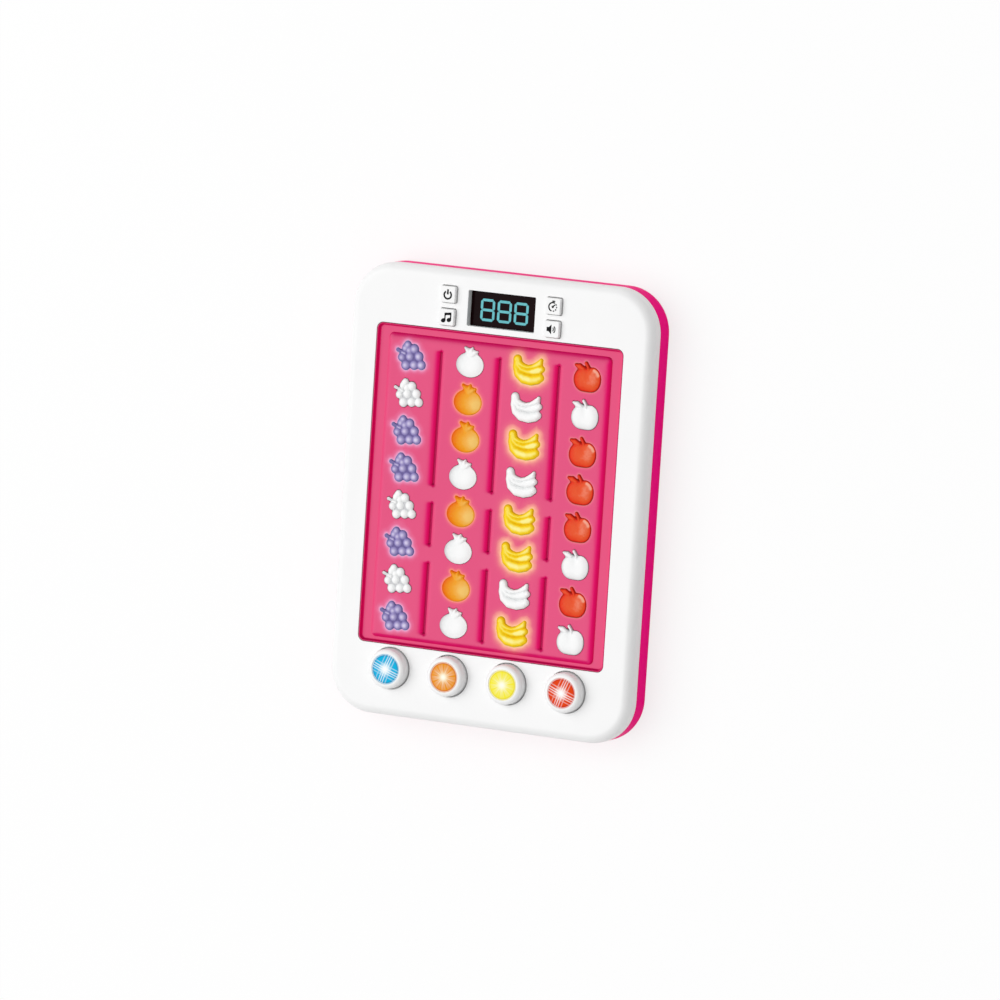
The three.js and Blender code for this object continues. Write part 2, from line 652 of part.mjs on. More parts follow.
function footPlaces() {
  const x = caseWidth / 2 - FOOT_INSET;
  const y = caseHeight / 2 - FOOT_INSET;
  return [[-x, y], [x, y], [-x, -y], [x, -y]];
}

function grilleSlots() {
  const middle = (GRILLE_SLOT_COUNT - 1) / 2;
  return Array.from({ length: GRILLE_SLOT_COUNT }, (_, i) => {
    const y = (i - middle) * GRILLE_SLOT_PITCH;
    const length = 2 * Math.sqrt(GRILLE_RADIUS ** 2 - y ** 2);
    return prism(rect(length, GRILLE_SLOT_WIDTH), backZ - OVERRUN, rearFloorZ + OVERRUN, 0, speakerY + y);
  });
}

function chargePort() {
  const height = SOCKET_HEIGHT + 2 * SOCKET_PORT_CLEARANCE;
  const width = SOCKET_WIDTH + 2 * SOCKET_PORT_CLEARANCE;
  const geometry = new THREE.ExtrudeGeometry(slotShape(width, height), {
    depth: SIDE_WALL + 2 * OVERRUN,
    bevelEnabled: false,
    curveSegments: CORNER_STEPS,
  });
  geometry.rotateX(Math.PI / 2);
  geometry.translate(0, SIDE_WALL + OVERRUN - caseHeight / 2, socketZ());
  return solidFrom(geometry);
}

function slotShape(width, height) {
  const reach = (width - height) / 2;
  const shape = new THREE.Shape();
  shape.absarc(reach, 0, height / 2, -Math.PI / 2, Math.PI / 2);
  shape.absarc(-reach, 0, height / 2, Math.PI / 2, 1.5 * Math.PI);
  shape.closePath();
  return shape;
}

// Panel

function fruitPanel() {
  const plateShape = roundedRect(plateWidth, plateHeight, plateRadius);
  const plate = prism(plateShape, panelUnderZ, underFaceZ, 0, panelY);
  const scallops = playXs.map((x) =>
    cylinder(playFlangeRadius + MOVING_GAP, panelUnderZ - OVERRUN, faceZ, x, playY, CAP_STEPS));
  const tray = prism(roundedRect(trayWidth, trayHeight, PANEL_CORNER_RADIUS),
    panelUnderZ, faceZ - RIM_DROP, 0, panelY);
  const posts = lampPostPlaces.map(([x, y]) => cylinder(POST_RADIUS, lampBoardTopZ, channelZ, x, y));
  const body = tray.subtract(channelHollow()).add(raisedField());
  const whole = joined([withCuts(plate, scallops).add(body), ...posts]);
  const pilots = lampPostPlaces.map(([x, y]) => postPilot(lampBoardTopZ, x, y));
  return withCuts(whole, [...laneGrooves(), ...pilots, ...fruitHoles()]);
}

function channelHollow() {
  const floor = roundedRect(channelFloorWidth, channelFloorHeight, PANEL_CORNER_RADIUS - rimWidth);
  const wallHeight = CHANNEL_DEPTH - RIM_DROP;
  const top = faceZ - RIM_DROP + wallHeight;
  const flare = { height: wallHeight, width: RIM_DRAFT, steps: 1, cornerSteps: SMALL_CORNER_STEPS };
  return flaredPrism(floor, channelZ, top, flare, 0, panelY);
}

function raisedField() {
  const top = roundedRect(fieldWidth, fieldHeight, FIELD_CORNER_RADIUS);
  const rise = fieldZ - channelZ;
  const bottom = channelZ - rise;
  const flare = { height: rise, width: FIELD_DRAFT, steps: 1, cornerSteps: SMALL_CORNER_STEPS };
  const field = flaredPrism(top, bottom, fieldZ, flare, 0, fieldY);
  const spare = prism(rect(caseWidth, caseHeight), bottom - OVERRUN, channelZ - PANEL_FLOOR / 2);
  return field.subtract(spare);
}

// The bridges stand at shares of the field's height, counted down from its top
function laneGrooves() {
  const fieldTop = fieldY + fieldHeight / 2;
  const bridges = GROOVE_BRIDGE_SHARES.map((share) => fieldTop - share * fieldHeight);
  const tops = [fieldTop - GROOVE_TOP_INSET, ...bridges.map((y) => y - GROOVE_BRIDGE / 2)];
  const lastBottom = fieldTop - fieldHeight + GROOVE_BOTTOM_INSET;
  const bottoms = [...bridges.map((y) => y + GROOVE_BRIDGE / 2), lastBottom];
  return laneXs.flatMap((x) => tops.map((high, i) => laneGroove(x, high, bottoms[i])));
}

function laneGroove(x, high, low) {
  const width = GROOVE_FLOOR_WIDTH;
  const length = high - low - 2 * GROOVE_DRAFT;
  const floor = roundedRect(width, length, width / 3);
  const flare = { height: GROOVE_DEPTH, width: GROOVE_DRAFT, steps: 1, cornerSteps: SMALL_CORNER_STEPS };
  return flaredPrism(floor, fieldZ - GROOVE_DEPTH, fieldZ + GROOVE_DEPTH, flare, x, (high + low) / 2);
}

function fruitHoles() {
  return fruitKinds.flatMap((kind, column) => {
    const shape = new THREE.Shape(grown(fruitOutline(kind), FRUIT_CLEARANCE));
    return rowYs.map((y) => prism(shape, panelUnderZ - OVERRUN, faceZ + OVERRUN, columnXs[column], y));
  });
}

// One column of windows: a strip under the panel with eight fruits that stand through it
function lensStrip(kind) {
  const x = columnXs[fruitKinds.indexOf(kind)];
  const shape = new THREE.Shape(fruitOutline(kind));
  const strip = prism(rect(STRIP_WIDTH, lampBoardHeight), stripUnderZ, panelUnderZ, x, fieldY);
  const wallTop = fieldZ + FRUIT_WALL_RISE;
  const fruits = rowYs.flatMap((y) => [
    prism(shape, stripUnderZ + STRIP_THICKNESS / 2, wallTop, x, y),
    ...fruitReliefs[kind](x, y, wallTop),
  ]);
  return joined([strip, ...fruits]);
}

// Light grid and boards

function lightBaffle() {
  const cell = rect(BAFFLE_CELL_WIDTH, ROW_PITCH - BAFFLE_WALL);
  const outline = rect(lampBoardWidth, lampBoardHeight);
  const block = prism(outline, lampBoardTopZ, stripUnderZ, LANE_OFFSET, fieldY);
  const bottom = lampBoardTopZ - OVERRUN;
  const top = stripUnderZ + OVERRUN;
  const cells = columnXs.flatMap((x) => rowYs.map((y) => prism(cell, bottom, top, x, y)));
  const postHoles = lampPostPlaces.map(([x, y]) =>
    cylinder(POST_RADIUS + POST_CLEARANCE, bottom, top, x, y));
  return withCuts(block, [...cells, ...postHoles]);
}

function lamp(boardTop, x, y) {
  return prism(rect(LAMP_WIDTH, LAMP_HEIGHT), boardTop - BOARD_THICKNESS / 2, boardTop + LAMP_RISE, x, y);
}

function boardHoles(places, boardTop) {
  const bottom = boardTop - BOARD_THICKNESS - OVERRUN;
  return places.map(([x, y]) =>
    cylinder(BOARD_HOLE_RADIUS, bottom, boardTop + OVERRUN, x, y, SCREW_STEPS));
}

function ledBoard() {
  const board = prism(rect(lampBoardWidth, lampBoardHeight),
    lampBoardUnderZ, lampBoardTopZ, LANE_OFFSET, fieldY);
  const lamps = columnXs.flatMap((x) => rowYs.map((y) => lamp(lampBoardTopZ, x, y)));
  return withCuts(joined([board, ...lamps]), boardHoles(lampPostPlaces, lampBoardTopZ));
}

function mainBoard() {
  const shape = rect(mainBoardWidth, MAIN_BOARD_HEIGHT);
  const board = prism(shape, mainBoardUnderZ, mainBoardTopZ, 0, displayY);
  return withCuts(board, boardHoles(mainPostPlaces, mainBoardTopZ));
}

// The play board has a tongue that carries the charging socket to the lower wall
function playBoard() {
  const width = columnSpan + 2 * PLAY_BOARD_SIDE_MARGIN;
  const bottom = PLAY_BOARD_TONGUE_GAP + TONGUE_THICKNESS + TONGUE_CLEARANCE - innerHeight / 2;
  const tongueHeight = playY - bottom;
  const board = prism(rect(width, PLAY_BOARD_HEIGHT), lampBoardUnderZ, lampBoardTopZ, 0, playY);
  const tonguePiece = prism(rect(PLAY_BOARD_TONGUE_WIDTH, tongueHeight),
    lampBoardUnderZ, lampBoardTopZ, 0, bottom + tongueHeight / 2);
  const lamps = playXs.map((x) => lamp(lampBoardTopZ, x, playY));
  return withCuts(joined([board, tonguePiece, ...lamps]), boardHoles(playPostPlaces, lampBoardTopZ));
}

// Display

function displayWindow() {
  const width = DISPLAY_OPENING_WIDTH + 2 * DISPLAY_WINDOW_LAP;
  const height = DISPLAY_OPENING_HEIGHT + 2 * DISPLAY_WINDOW_LAP;
  return prism(rect(width, height), windowUnderZ, windowTopZ, 0, displayY);
}

function displayModule() {
  return prism(rect(DISPLAY_MODULE_WIDTH, DISPLAY_MODULE_HEIGHT), mainBoardTopZ, windowUnderZ, 0, displayY);
}

// Buttons and keys, each about its own axis

function playCap() {
  const top = faceZ + PLAY_CAP_RISE;
  const flange = playFlangeRadius;
  const wall = PLAY_CAP_RADIUS - PLAY_CAP_WALL;
  const mouth = PLAY_LENS_RADIUS + PLAY_LENS_CLEARANCE;
  const edge = Array.from({ length: ROUND_STEPS + 1 }, (_, i) => {
    const angle = (Math.PI / 2) * (i / ROUND_STEPS);
    return [
      PLAY_CAP_RADIUS - PLAY_CAP_EDGE_ROUND * (1 - Math.cos(angle)),
      top - PLAY_CAP_EDGE_ROUND * (1 - Math.sin(angle)),
    ];
  });
  return turned([
    [wall, flangeUnderZ], [flange, flangeUnderZ], [flange, flangeTopZ], [PLAY_CAP_RADIUS, flangeTopZ],
    ...edge,
    [mouth, top], [mouth, top - PLAY_CAP_LIP], [wall, top - PLAY_CAP_LIP], [wall, flangeUnderZ],
  ], CAP_STEPS);
}

function playLens() {
  const top = faceZ + PLAY_CAP_RISE;
  const flangeTop = top - PLAY_CAP_LIP;
  const flangeUnder = flangeTop - PLAY_LENS_FLANGE;
  const flange = PLAY_LENS_RADIUS + PLAY_LENS_SHOULDER;
  const rim = top - PLAY_LENS_SINK;
  return turned([
    [0, flangeUnder], [flange, flangeUnder], [flange, flangeTop], [PLAY_LENS_RADIUS, flangeTop],
    [PLAY_LENS_RADIUS, rim], [PLAY_LENS_RADIUS / 2, rim + 0.75 * PLAY_LENS_CROWN],
    [0, rim + PLAY_LENS_CROWN],
  ], CAP_STEPS);
}

function playDome() {
  const head = flangeUnderZ - MOVING_GAP;
  const ledge = lampBoardTopZ + PLAY_DOME_FOOT_HEIGHT;
  const outer = PLAY_DOME_FOOT_RADIUS;
  const inner = outer - PLAY_DOME_WALL;
  return turned([
    [inner, lampBoardTopZ], [outer, lampBoardTopZ], [outer, ledge], [outer - PLAY_DOME_LEAN, head],
    [inner - PLAY_DOME_LEAN, head], [inner, ledge], [inner, lampBoardTopZ],
  ], DOME_STEPS);
}

function keyCap() {
  const top = faceZ + KEY_RISE;
  const core = roundedRect(KEY_SIZE - 2 * KEY_EDGE_ROUND, KEY_SIZE - 2 * KEY_EDGE_ROUND,
    KEY_CORNER_RADIUS - KEY_EDGE_ROUND);
  const flare = { height: KEY_EDGE_ROUND, width: KEY_EDGE_ROUND, steps: 1, cornerSteps: 1 };
  const cap = flaredPrism(core, flangeUnderZ, top, flare);
  const flange = prism(rect(keyFlangeSize, keyFlangeSize), flangeUnderZ, flangeTopZ);
  const stemFoot = mainBoardTopZ + KEY_DOME_HEIGHT + MOVING_GAP;
  const stem = cylinder(KEY_STEM_RADIUS, stemFoot, flangeTopZ, 0, 0, SCREW_STEPS);
  return joined([cap, flange, stem]);
}

function keyDome() {
  const foot = mainBoardTopZ;
  const head = foot + KEY_DOME_HEIGHT;
  const shoulder = head - DOME_WALL;
  return turned([
    [KEY_DOME_RADIUS - DOME_WALL, foot], [KEY_DOME_RADIUS, foot], [KEY_DOME_RADIUS, foot + DOME_WALL],
    [KEY_DOME_TOP_RADIUS, shoulder], [KEY_DOME_TOP_RADIUS, head], [0, head], [0, shoulder - DOME_WALL],
    [KEY_DOME_TOP_RADIUS - DOME_WALL, shoulder - DOME_WALL],
    [KEY_DOME_RADIUS - DOME_WALL, foot + DOME_WALL], [KEY_DOME_RADIUS - DOME_WALL, foot],
  ], SCREW_STEPS);
}

// Sound and power

function speaker() {
  const face = rearFloorZ;
  const coneEdge = SPEAKER_RADIUS - SPEAKER_FRAME_WIDTH;
  const back = face + SPEAKER_DEPTH;
  const shoulder = back - SPEAKER_DEPTH / 2;
  return turned([
    [0, face + SPEAKER_CONE_SINK], [coneEdge / 2, face + SPEAKER_CONE_SINK], [coneEdge, face],
    [SPEAKER_RADIUS, face], [SPEAKER_RADIUS, shoulder], [SPEAKER_MAGNET_RADIUS, shoulder],
    [SPEAKER_MAGNET_RADIUS, back], [0, back],
  ], DISC_STEPS, 0, speakerY);
}

function batteryPack() {
  const shape = roundedRect(BATTERY_WIDTH, BATTERY_LENGTH, BATTERY_CORNER_RADIUS);
  return prism(shape, rearFloorZ, rearFloorZ + BATTERY_THICKNESS, 0, batteryY);
}

function socketZ() {
  return lampBoardUnderZ - SOCKET_HEIGHT / 2;
}

// The socket's mouth faces -Y and its contact tongue stands free in the mouth
function chargeSocket() {
  const outer = rect(SOCKET_WIDTH, SOCKET_HEIGHT);
  const mouth = slotShape(SOCKET_WIDTH - 2 * SOCKET_SHELL, SOCKET_HEIGHT - 2 * SOCKET_SHELL);
  const blade = rect(SOCKET_TONGUE_WIDTH, SOCKET_TONGUE_THICKNESS);
  const shell = prism(outer, 0, SOCKET_DEPTH);
  const hollow = prism(mouth, SOCKET_FLOOR, SOCKET_DEPTH + OVERRUN);
  const contact = prism(blade, SOCKET_FLOOR / 2, SOCKET_DEPTH - SOCKET_TONGUE_SETBACK);
  const geometry = geometryFrom(shell.subtract(hollow).add(contact));
  geometry.rotateX(Math.PI / 2);
  geometry.translate(0, SOCKET_WALL_GAP + SOCKET_DEPTH - innerHeight / 2, socketZ());
  return solidFrom(geometry);
}

// Screws and feet, each about its own axis with its seat at zero height

function screw(radius, length, headRadius, headHeight) {
  const tip = radius / 2;
  const body = turned([
    [0, -headHeight], [headRadius, -headHeight], [headRadius, 0], [radius, 0],
    [radius, length - radius], [tip, length], [0, length],
  ], SCREW_STEPS);
  const slotOutline = rect(3 * headRadius, SCREW_SLOT_WIDTH);
  const slot = prism(slotOutline, -headHeight - OVERRUN, SCREW_SLOT_DEPTH - headHeight);
  return body.subtract(slot);
}

function shellScrew() {
  return screw(SHELL_SCREW_RADIUS, SHELL_SCREW_LENGTH, SHELL_SCREW_HEAD_RADIUS, SHELL_SCREW_HEAD_HEIGHT);
}

function boardScrew() {
  return screw(BOARD_SCREW_RADIUS, BOARD_SCREW_LENGTH, BOARD_SCREW_HEAD_RADIUS, BOARD_SCREW_HEAD_HEIGHT);
}

function rubberFoot() {
  return turned([
    [0, 0], [FOOT_RADIUS - FOOT_EDGE, 0], [FOOT_RADIUS, FOOT_EDGE], [FOOT_RADIUS, FOOT_HEIGHT],
    [0, FOOT_HEIGHT],
  ], DISC_STEPS);
}

// Ribbons and leads

function swept(section, points, steps) {
  const path = new THREE.CatmullRomCurve3(points.map((point) => new THREE.Vector3(...point)));
  return solidFrom(new THREE.ExtrudeGeometry(section, { steps, extrudePath: path }));
}

function mainRibbon() {
  const high = lampBoardUnderZ - RIBBON_GAP - RIBBON_THICKNESS / 2;
  const low = mainBoardUnderZ - RIBBON_GAP - RIBBON_THICKNESS / 2;
  const start = fieldY + lampBoardHeight / 2;
  const end = displayY - MAIN_BOARD_HEIGHT / 2;
  const x = outerLaneXs[1];
  return swept(rect(RIBBON_WIDTH, RIBBON_THICKNESS), [
    [x, start - RIBBON_OVERLAP, high], [x, start, high], [x, (start + end) / 2, (high + low) / 2],
    [x, end, low], [x, end + RIBBON_OVERLAP, low],
  ], LEAD_STEPS);
}

function playRibbon() {
  const level = lampBoardUnderZ - RIBBON_GAP - RIBBON_THICKNESS / 2;
  const start = fieldY - lampBoardHeight / 2;
  const end = playY + PLAY_BOARD_HEIGHT / 2;
  return swept(rect(RIBBON_WIDTH, RIBBON_THICKNESS), [
    [0, start + RIBBON_OVERLAP, level], [0, start, level],
    [0, (start + end) / 2, level - RIBBON_DIP],
    [0, end, level], [0, end - RIBBON_OVERLAP, level],
  ], LEAD_STEPS);
}

function leadSection() {
  const shape = new THREE.Shape();
  shape.absarc(0, 0, LEAD_RADIUS, 0, 2 * Math.PI);
  return new THREE.Shape(shape.getPoints(TUBE_SIDES).slice(0, TUBE_SIDES));
}

// From the battery's upper end, round the speaker and up under the main board
function batteryLead() {
  const floor = rearFloorZ + LEAD_GAP + LEAD_RADIUS;
  const under = mainBoardUnderZ - LEAD_GAP - LEAD_RADIUS;
  const start = batteryY + BATTERY_LENGTH / 2 + LEAD_RADIUS;
  const end = displayY - MAIN_BOARD_HEIGHT / 2 + RIBBON_OVERLAP;
  return swept(leadSection(), [
    [-BATTERY_WIDTH / 4, start, floor], [-BATTERY_WIDTH / 3, start + LEAD_RADIUS * 4, floor],
    [-LEAD_DETOUR, speakerY, floor], [-LEAD_DETOUR, (speakerY + end) / 2, (floor + under) / 2],
    [-BATTERY_WIDTH / 2, end, under],
  ], LEAD_STEPS);
}

// From the speaker's frame, over its ring and up under the main board
function speakerLead() {
  const over = rearFloorZ + SPEAKER_RING_HEIGHT + LEAD_GAP + LEAD_RADIUS;
  const under = mainBoardUnderZ - LEAD_GAP - LEAD_RADIUS;
  const start = speakerY + SPEAKER_RADIUS - SPEAKER_FRAME_WIDTH;
  const end = displayY - MAIN_BOARD_HEIGHT / 2 + RIBBON_OVERLAP;
  return swept(leadSection(), [
    [0, start, over], [0, start + 3 * SPEAKER_FRAME_WIDTH, over],
    [0, (start + end) / 2, (over + under) / 2], [0, end, under],
  ], LEAD_STEPS);
}

// Materials

function plastic(colour, roughness = 0.4) {
  return new THREE.MeshStandardMaterial({ color: colour, roughness, metalness: 0 });
}

function metal(colour, roughness = 0.35) {
  return new THREE.MeshStandardMaterial({ color: colour, roughness, metalness: 1 });
}

const whitePlastic = () => plastic(0xf6f6f6, 0.32);
const magentaPlastic = () => plastic(0xd8026a, 0.3);
const pinkPlastic = () => plastic(0xe9427f, 0.38);
const milkyPlastic = () => plastic(0xf4f2ee, 0.3);
const darkWindow = () => plastic(0x160406, 0.12);
const boardResin = () => plastic(0x1d6b3c, 0.5);
const silicone = () => plastic(0xd9d9d6, 0.7);
const rubber = () => plastic(0x2a2a2c, 0.85);
const steel = () => metal(0xb9bcc0);
const wireJacket = () => plastic(0xb02020, 0.5);
const ribbonFilm = () => plastic(0xe8e6df, 0.45);
const foil = () => metal(0x9fa6ad, 0.45);

// Assembly

const game = new THREE.Group();

function add(name, solid, material, place = [0, 0, 0]) {
  const mesh = new THREE.Mesh(geometryFrom(solid), material);
  mesh.name = name;
  mesh.position.set(...place);
  game.add(mesh);
}

add('front_shell', frontShell(), whitePlastic());
add('rear_shell', rearShell(), magentaPlastic());
add('fruit_panel', fruitPanel(), pinkPlastic());
for (const kind of fruitKinds) {
  add(`${kind}_lens_strip`, lensStrip(kind), milkyPlastic());
}
add('light_baffle', lightBaffle(), whitePlastic());
add('led_board', ledBoard(), boardResin());
add('display_window', displayWindow(), darkWindow());
add('display_module', displayModule(), darkWindow());
add('main_board', mainBoard(), boardResin());
add('play_board', playBoard(), boardResin());

const playColours = { blue: 0x1eafe1, orange: 0xf8961e, yellow: 0xfaeb3c, red: 0xeb4623 };
Object.entries(playColours).forEach(([name, colour], column) => {
  const place = [playXs[column], playY, 0];
  add(`play_cap_${name}`, playCap(), whitePlastic(), place);
  add(`play_lens_${name}`, playLens(), plastic(colour, 0.15), place);
  add(`play_dome_${name}`, playDome(), silicone(), place);
});

['power', 'music', 'timer', 'volume'].forEach((name, i) => {
  const place = [...keyPlaces()[i], 0];
  add(`key_${name}`, keyCap(), whitePlastic(), place);
  add(`key_dome_${name}`, keyDome(), silicone(), place);
});

add('speaker', speaker(), metal(0x55585c, 0.5));
add('battery_pack', batteryPack(), foil());
add('charge_socket', chargeSocket(), steel());
add('main_ribbon', mainRibbon(), ribbonFilm());
add('play_ribbon', playRibbon(), ribbonFilm());
add('battery_lead', batteryLead(), wireJacket());
add('speaker_lead', speakerLead(), wireJacket());

shellScrewPlaces.forEach(([x, y], i) => {
  add(`shell_screw_${i + 1}`, shellScrew(), steel(), [x, y, backZ + SHELL_SCREW_SEAT]);
});
const boardScrewSeats = [
  ...lampPostPlaces.map(([x, y]) => [x, y, lampBoardUnderZ]),
  ...mainPostPlaces.map(([x, y]) => [x, y, mainBoardUnderZ]),
  ...playPostPlaces.map(([x, y]) => [x, y, lampBoardUnderZ]),
];
boardScrewSeats.forEach((place, i) => {
  add(`board_screw_${i + 1}`, boardScrew(), steel(), place);
});
footPlaces().forEach(([x, y], i) => {
  add(`rubber_foot_${i + 1}`, rubberFoot(), rubber(), [x, y, 0]);
});

export default game;
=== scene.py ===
import json
import math

import bpy
import numpy as np
from mathutils import Matrix, Vector
from mathutils.geometry import delaunay_2d_cdt


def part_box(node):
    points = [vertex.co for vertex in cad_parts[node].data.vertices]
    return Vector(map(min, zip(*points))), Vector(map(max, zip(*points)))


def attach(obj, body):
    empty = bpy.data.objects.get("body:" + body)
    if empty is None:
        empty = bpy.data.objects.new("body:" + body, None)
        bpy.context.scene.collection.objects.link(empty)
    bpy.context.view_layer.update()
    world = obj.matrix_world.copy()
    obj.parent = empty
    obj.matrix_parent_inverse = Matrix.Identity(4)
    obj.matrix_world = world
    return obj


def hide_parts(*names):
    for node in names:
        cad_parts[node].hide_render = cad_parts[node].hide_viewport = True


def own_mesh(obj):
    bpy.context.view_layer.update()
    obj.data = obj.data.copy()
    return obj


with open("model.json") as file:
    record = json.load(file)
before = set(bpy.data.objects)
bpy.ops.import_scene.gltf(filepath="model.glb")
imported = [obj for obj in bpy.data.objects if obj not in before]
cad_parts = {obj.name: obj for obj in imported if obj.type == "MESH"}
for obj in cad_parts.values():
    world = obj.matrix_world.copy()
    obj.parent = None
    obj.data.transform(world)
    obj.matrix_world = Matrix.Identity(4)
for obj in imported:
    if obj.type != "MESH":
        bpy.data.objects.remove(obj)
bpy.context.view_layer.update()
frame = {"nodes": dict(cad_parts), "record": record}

# Electronic rhythm game, lying on its back with +Y towards the display.
# Sizes and places are in millimetres, and meshes are written in metres.
MM = 0.001

# Case
CASE_CORNER_RADIUS = 18.5
REAR_DEPTH = 11
FRONT_EDGE_ROUND = 3.8
REAR_EDGE_ROUND = 4.1
EDGE_LAND = 1
FACE_WALL = 2.2
CASE_WALL = 2
SEAM_CHAMFER = 0.22
TONGUE_GAP = 0.3
TONGUE_WALL = 1
TONGUE_HEIGHT = 1.5
HOLE_EDGE = 0.2
PANEL_CLEARANCE = 0.25
PLAY_CLEARANCE = 0.5
KEY_CLEARANCE = 0.3
DISPLAY_LAP = 1.3
DISPLAY_COLLAR = 1.1
DISPLAY_CORNER_RADIUS = 0.5

# Posts and screws
POST_RADIUS = 2.2
POST_PILOT_RADIUS = 1.1
POST_PILOT_DEPTH = 3.4
FRONT_BOSS_RADIUS = 2.9
FRONT_BOSS_PILOT_RADIUS = 1.2
REAR_BOSS_RADIUS = 3.8
WELL_RADIUS = 2.7
WELL_HOLE_RADIUS = 1.3
WELL_EDGE = 0.2
SCREW_SEAT = 7
SCREW_HEAD_RADIUS = 2.35
SCREW_HEAD_HEIGHT = 1.8
SCREW_HEAD_SLOPE = 0.5
SCREW_HEAD_ROUND = 0.3
SCREW_SHANK_RADIUS = 0.9
RECESS_REACH = 1.35
RECESS_HALF_WIDTH = 0.3
RECESS_DEPTH = 0.9
RECESS_TAPER = 0.7

# Feet
FOOT_RADIUS = 5.0
FOOT_HEIGHT = 1.0
FOOT_CHAMFER = 0.3
FOOT_ROUND = 0.15

# Sound and power
SPEAKER_RING_INNER = 14.3
SPEAKER_RING_OUTER = 15.5
SPEAKER_RING_HEIGHT = 2.5
SPEAKER_FRAME_RADIUS = 14
SPEAKER_FRAME_HEIGHT = 2.4
SPEAKER_FRAME_ROUND = 0.3
MAGNET_RADIUS = 8
MAGNET_ROUND = 0.4
GRILLE_SLOTS = 7
GRILLE_PITCH = 3.2
GRILLE_HALF_WIDTH = 0.75
GRILLE_RADIUS = 11.5
PORT_CLEARANCE = 0.35
PORT_FLARE = 0.45
PORT_OVERRUN = 1

# Speaker's face from its middle out: radius, height above the frame's face, and round of each corner
SPEAKER_FACE = ((0, 0.5), (2.6, 0.8, 0.8), (4.0, 1.7, 0.3), (11.0, 0.5, 0.4), (11.8, 0.15, 0.3),
                (12.5, 0.5, 0.2), (12.8, 0), (SPEAKER_FRAME_RADIUS, 0, 0.2))

# Panel
PANEL_LIP = 0.9
PANEL_CORNER_RADIUS = 2.6
PANEL_FLOOR = 2.1
RIM_DROP = 0.2
RIM_LAND = 0.3
RIM_DRAFT = 0.65
RIM_ROUND = 0.12
RIM_FOOT_ROUND = 0.3
CHANNEL_DEPTH = 1.5
CHANNEL_RING_INSET = 0.4
FIELD_DROP = 0.1
FIELD_CORNER_RADIUS = 0.6
FIELD_DRAFT = 1.6
FIELD_SIDE_MARGIN = 8.5
FIELD_TOP_MARGIN = 7.52
BOARD_END_GAP = 0.8
SCALLOP_RADIUS = 9.8
SCALLOP_STEPS = 9
ROW_PITCH = 15.33
GROOVE_FLOOR_HALF_WIDTH = 0.3
GROOVE_EDGE = 1.5
GROOVE_DEPTH = 1.35
GROOVE_TOP_INSET = 3.2
GROOVE_BOTTOM_INSET = 0.9
GROOVE_END_REACH = 1.6
GROOVE_BRIDGE = 5.2
GROOVE_BRIDGE_SHARES = (0.512, 0.713)
UNDERSIDE_DEPTH = 1

# How far each soft shoulder reaches from the foot of its wall, and how steeply it starts
SOFT_REACH = 3.7
SOFT_POWER = 3.2
SHARP_REACH = 1.8
SHARP_POWER = 1.25
RAMP_STEPS = 6

# Spare corners on the field, and how clear they stay of windows, halos and shoulders
FIELD_PITCH = 1.3
FIELD_EDGE_POINTS = 480
FIELD_WINDOW_GAP = 0.9
FIELD_RING_GAP = 0.3
SHOULDER_STEPS = (0.45, 1.0, 1.7, 2.5)
SHOULDER_PITCH = 0.9
SHOULDER_WINDOW_GAP = 0.6
HALO_LEVELS = (0.45, 0.7, 1.0, 1.4, 1.9, 2.6, 3.4)
HALO_PITCH_SHARES = (1.3, 0.5)
HALO_SLACK = 0.05
SPOT_EDGE_GAP = 0.35

# Fruit windows
FRUIT_GAP = 0.14
FRUIT_HOLE_EDGE = 0.1
FRUIT_EDGE_LIFT = 0.25
FRUIT_RISE = 0.85
FRUIT_REACH = 6.3
FRUIT_BLEND = 0.7
DOME_POWER = 2.2
DOME_BLEND = 0.1
EDGE_REACH = 0.5
EDGE_SHARE = 0.22
FRUIT_GRID_REACH = 8.5
FRUIT_GRID_PITCH = 0.17
FRUIT_OUTLINE_PITCH = 0.34
FRUIT_INNER_LEVELS = (-0.12, -0.32, -0.62)
FRUIT_RIM = 0.8
FRUIT_POINT_PITCH = 0.36
WINDOW_SEARCH_REACH = 13
STRIP_HALF_WIDTH = 10.5
STRIP_THICKNESS = 1.2
STRIP_CORNER_RADIUS = 0.4
STRIP_TONE = 0.6
HAIRLINE = 0.02

# Outlines from this level out are traced on a wider and coarser grid
FAR_LEVEL = 2
FAR_GRID_MARGIN = 4
FAR_GRID_STRIDE = 2

# Lit windows are marked L and the others W, row by row from the top
LIT_ROWS = {"grape": "LWLLWLWL", "orange": "WLLWLWLW", "banana": "LWLWLLWL", "apple": "LWLLLWLW"}

# Play buttons. A dome's foot and head are inner and outer radii.
PLAY_RADIUS = 8.25
PLAY_FLANGE_RADIUS = 9.5
PLAY_WALL = 1.3
PLAY_EDGE_ROUND = 1.75
CAP_LIP = 1
CAP_MOUTH_ROUND = 0.08
LENS_RADIUS = 6.15
LENS_CLEARANCE = 0.15
LENS_SHOULDER = 0.5
LENS_FLANGE = 1.2
LENS_SINK = 0.15
LENS_CROWN = 0.5
LENS_RIM_ROUND = 0.1
PLAY_DOME_FOOT = (7.7, 8.6)
PLAY_DOME_HEAD = (7.1, 8.0)
PLAY_DOME_COLLAR = 0.7
DOME_ROUND = 0.2

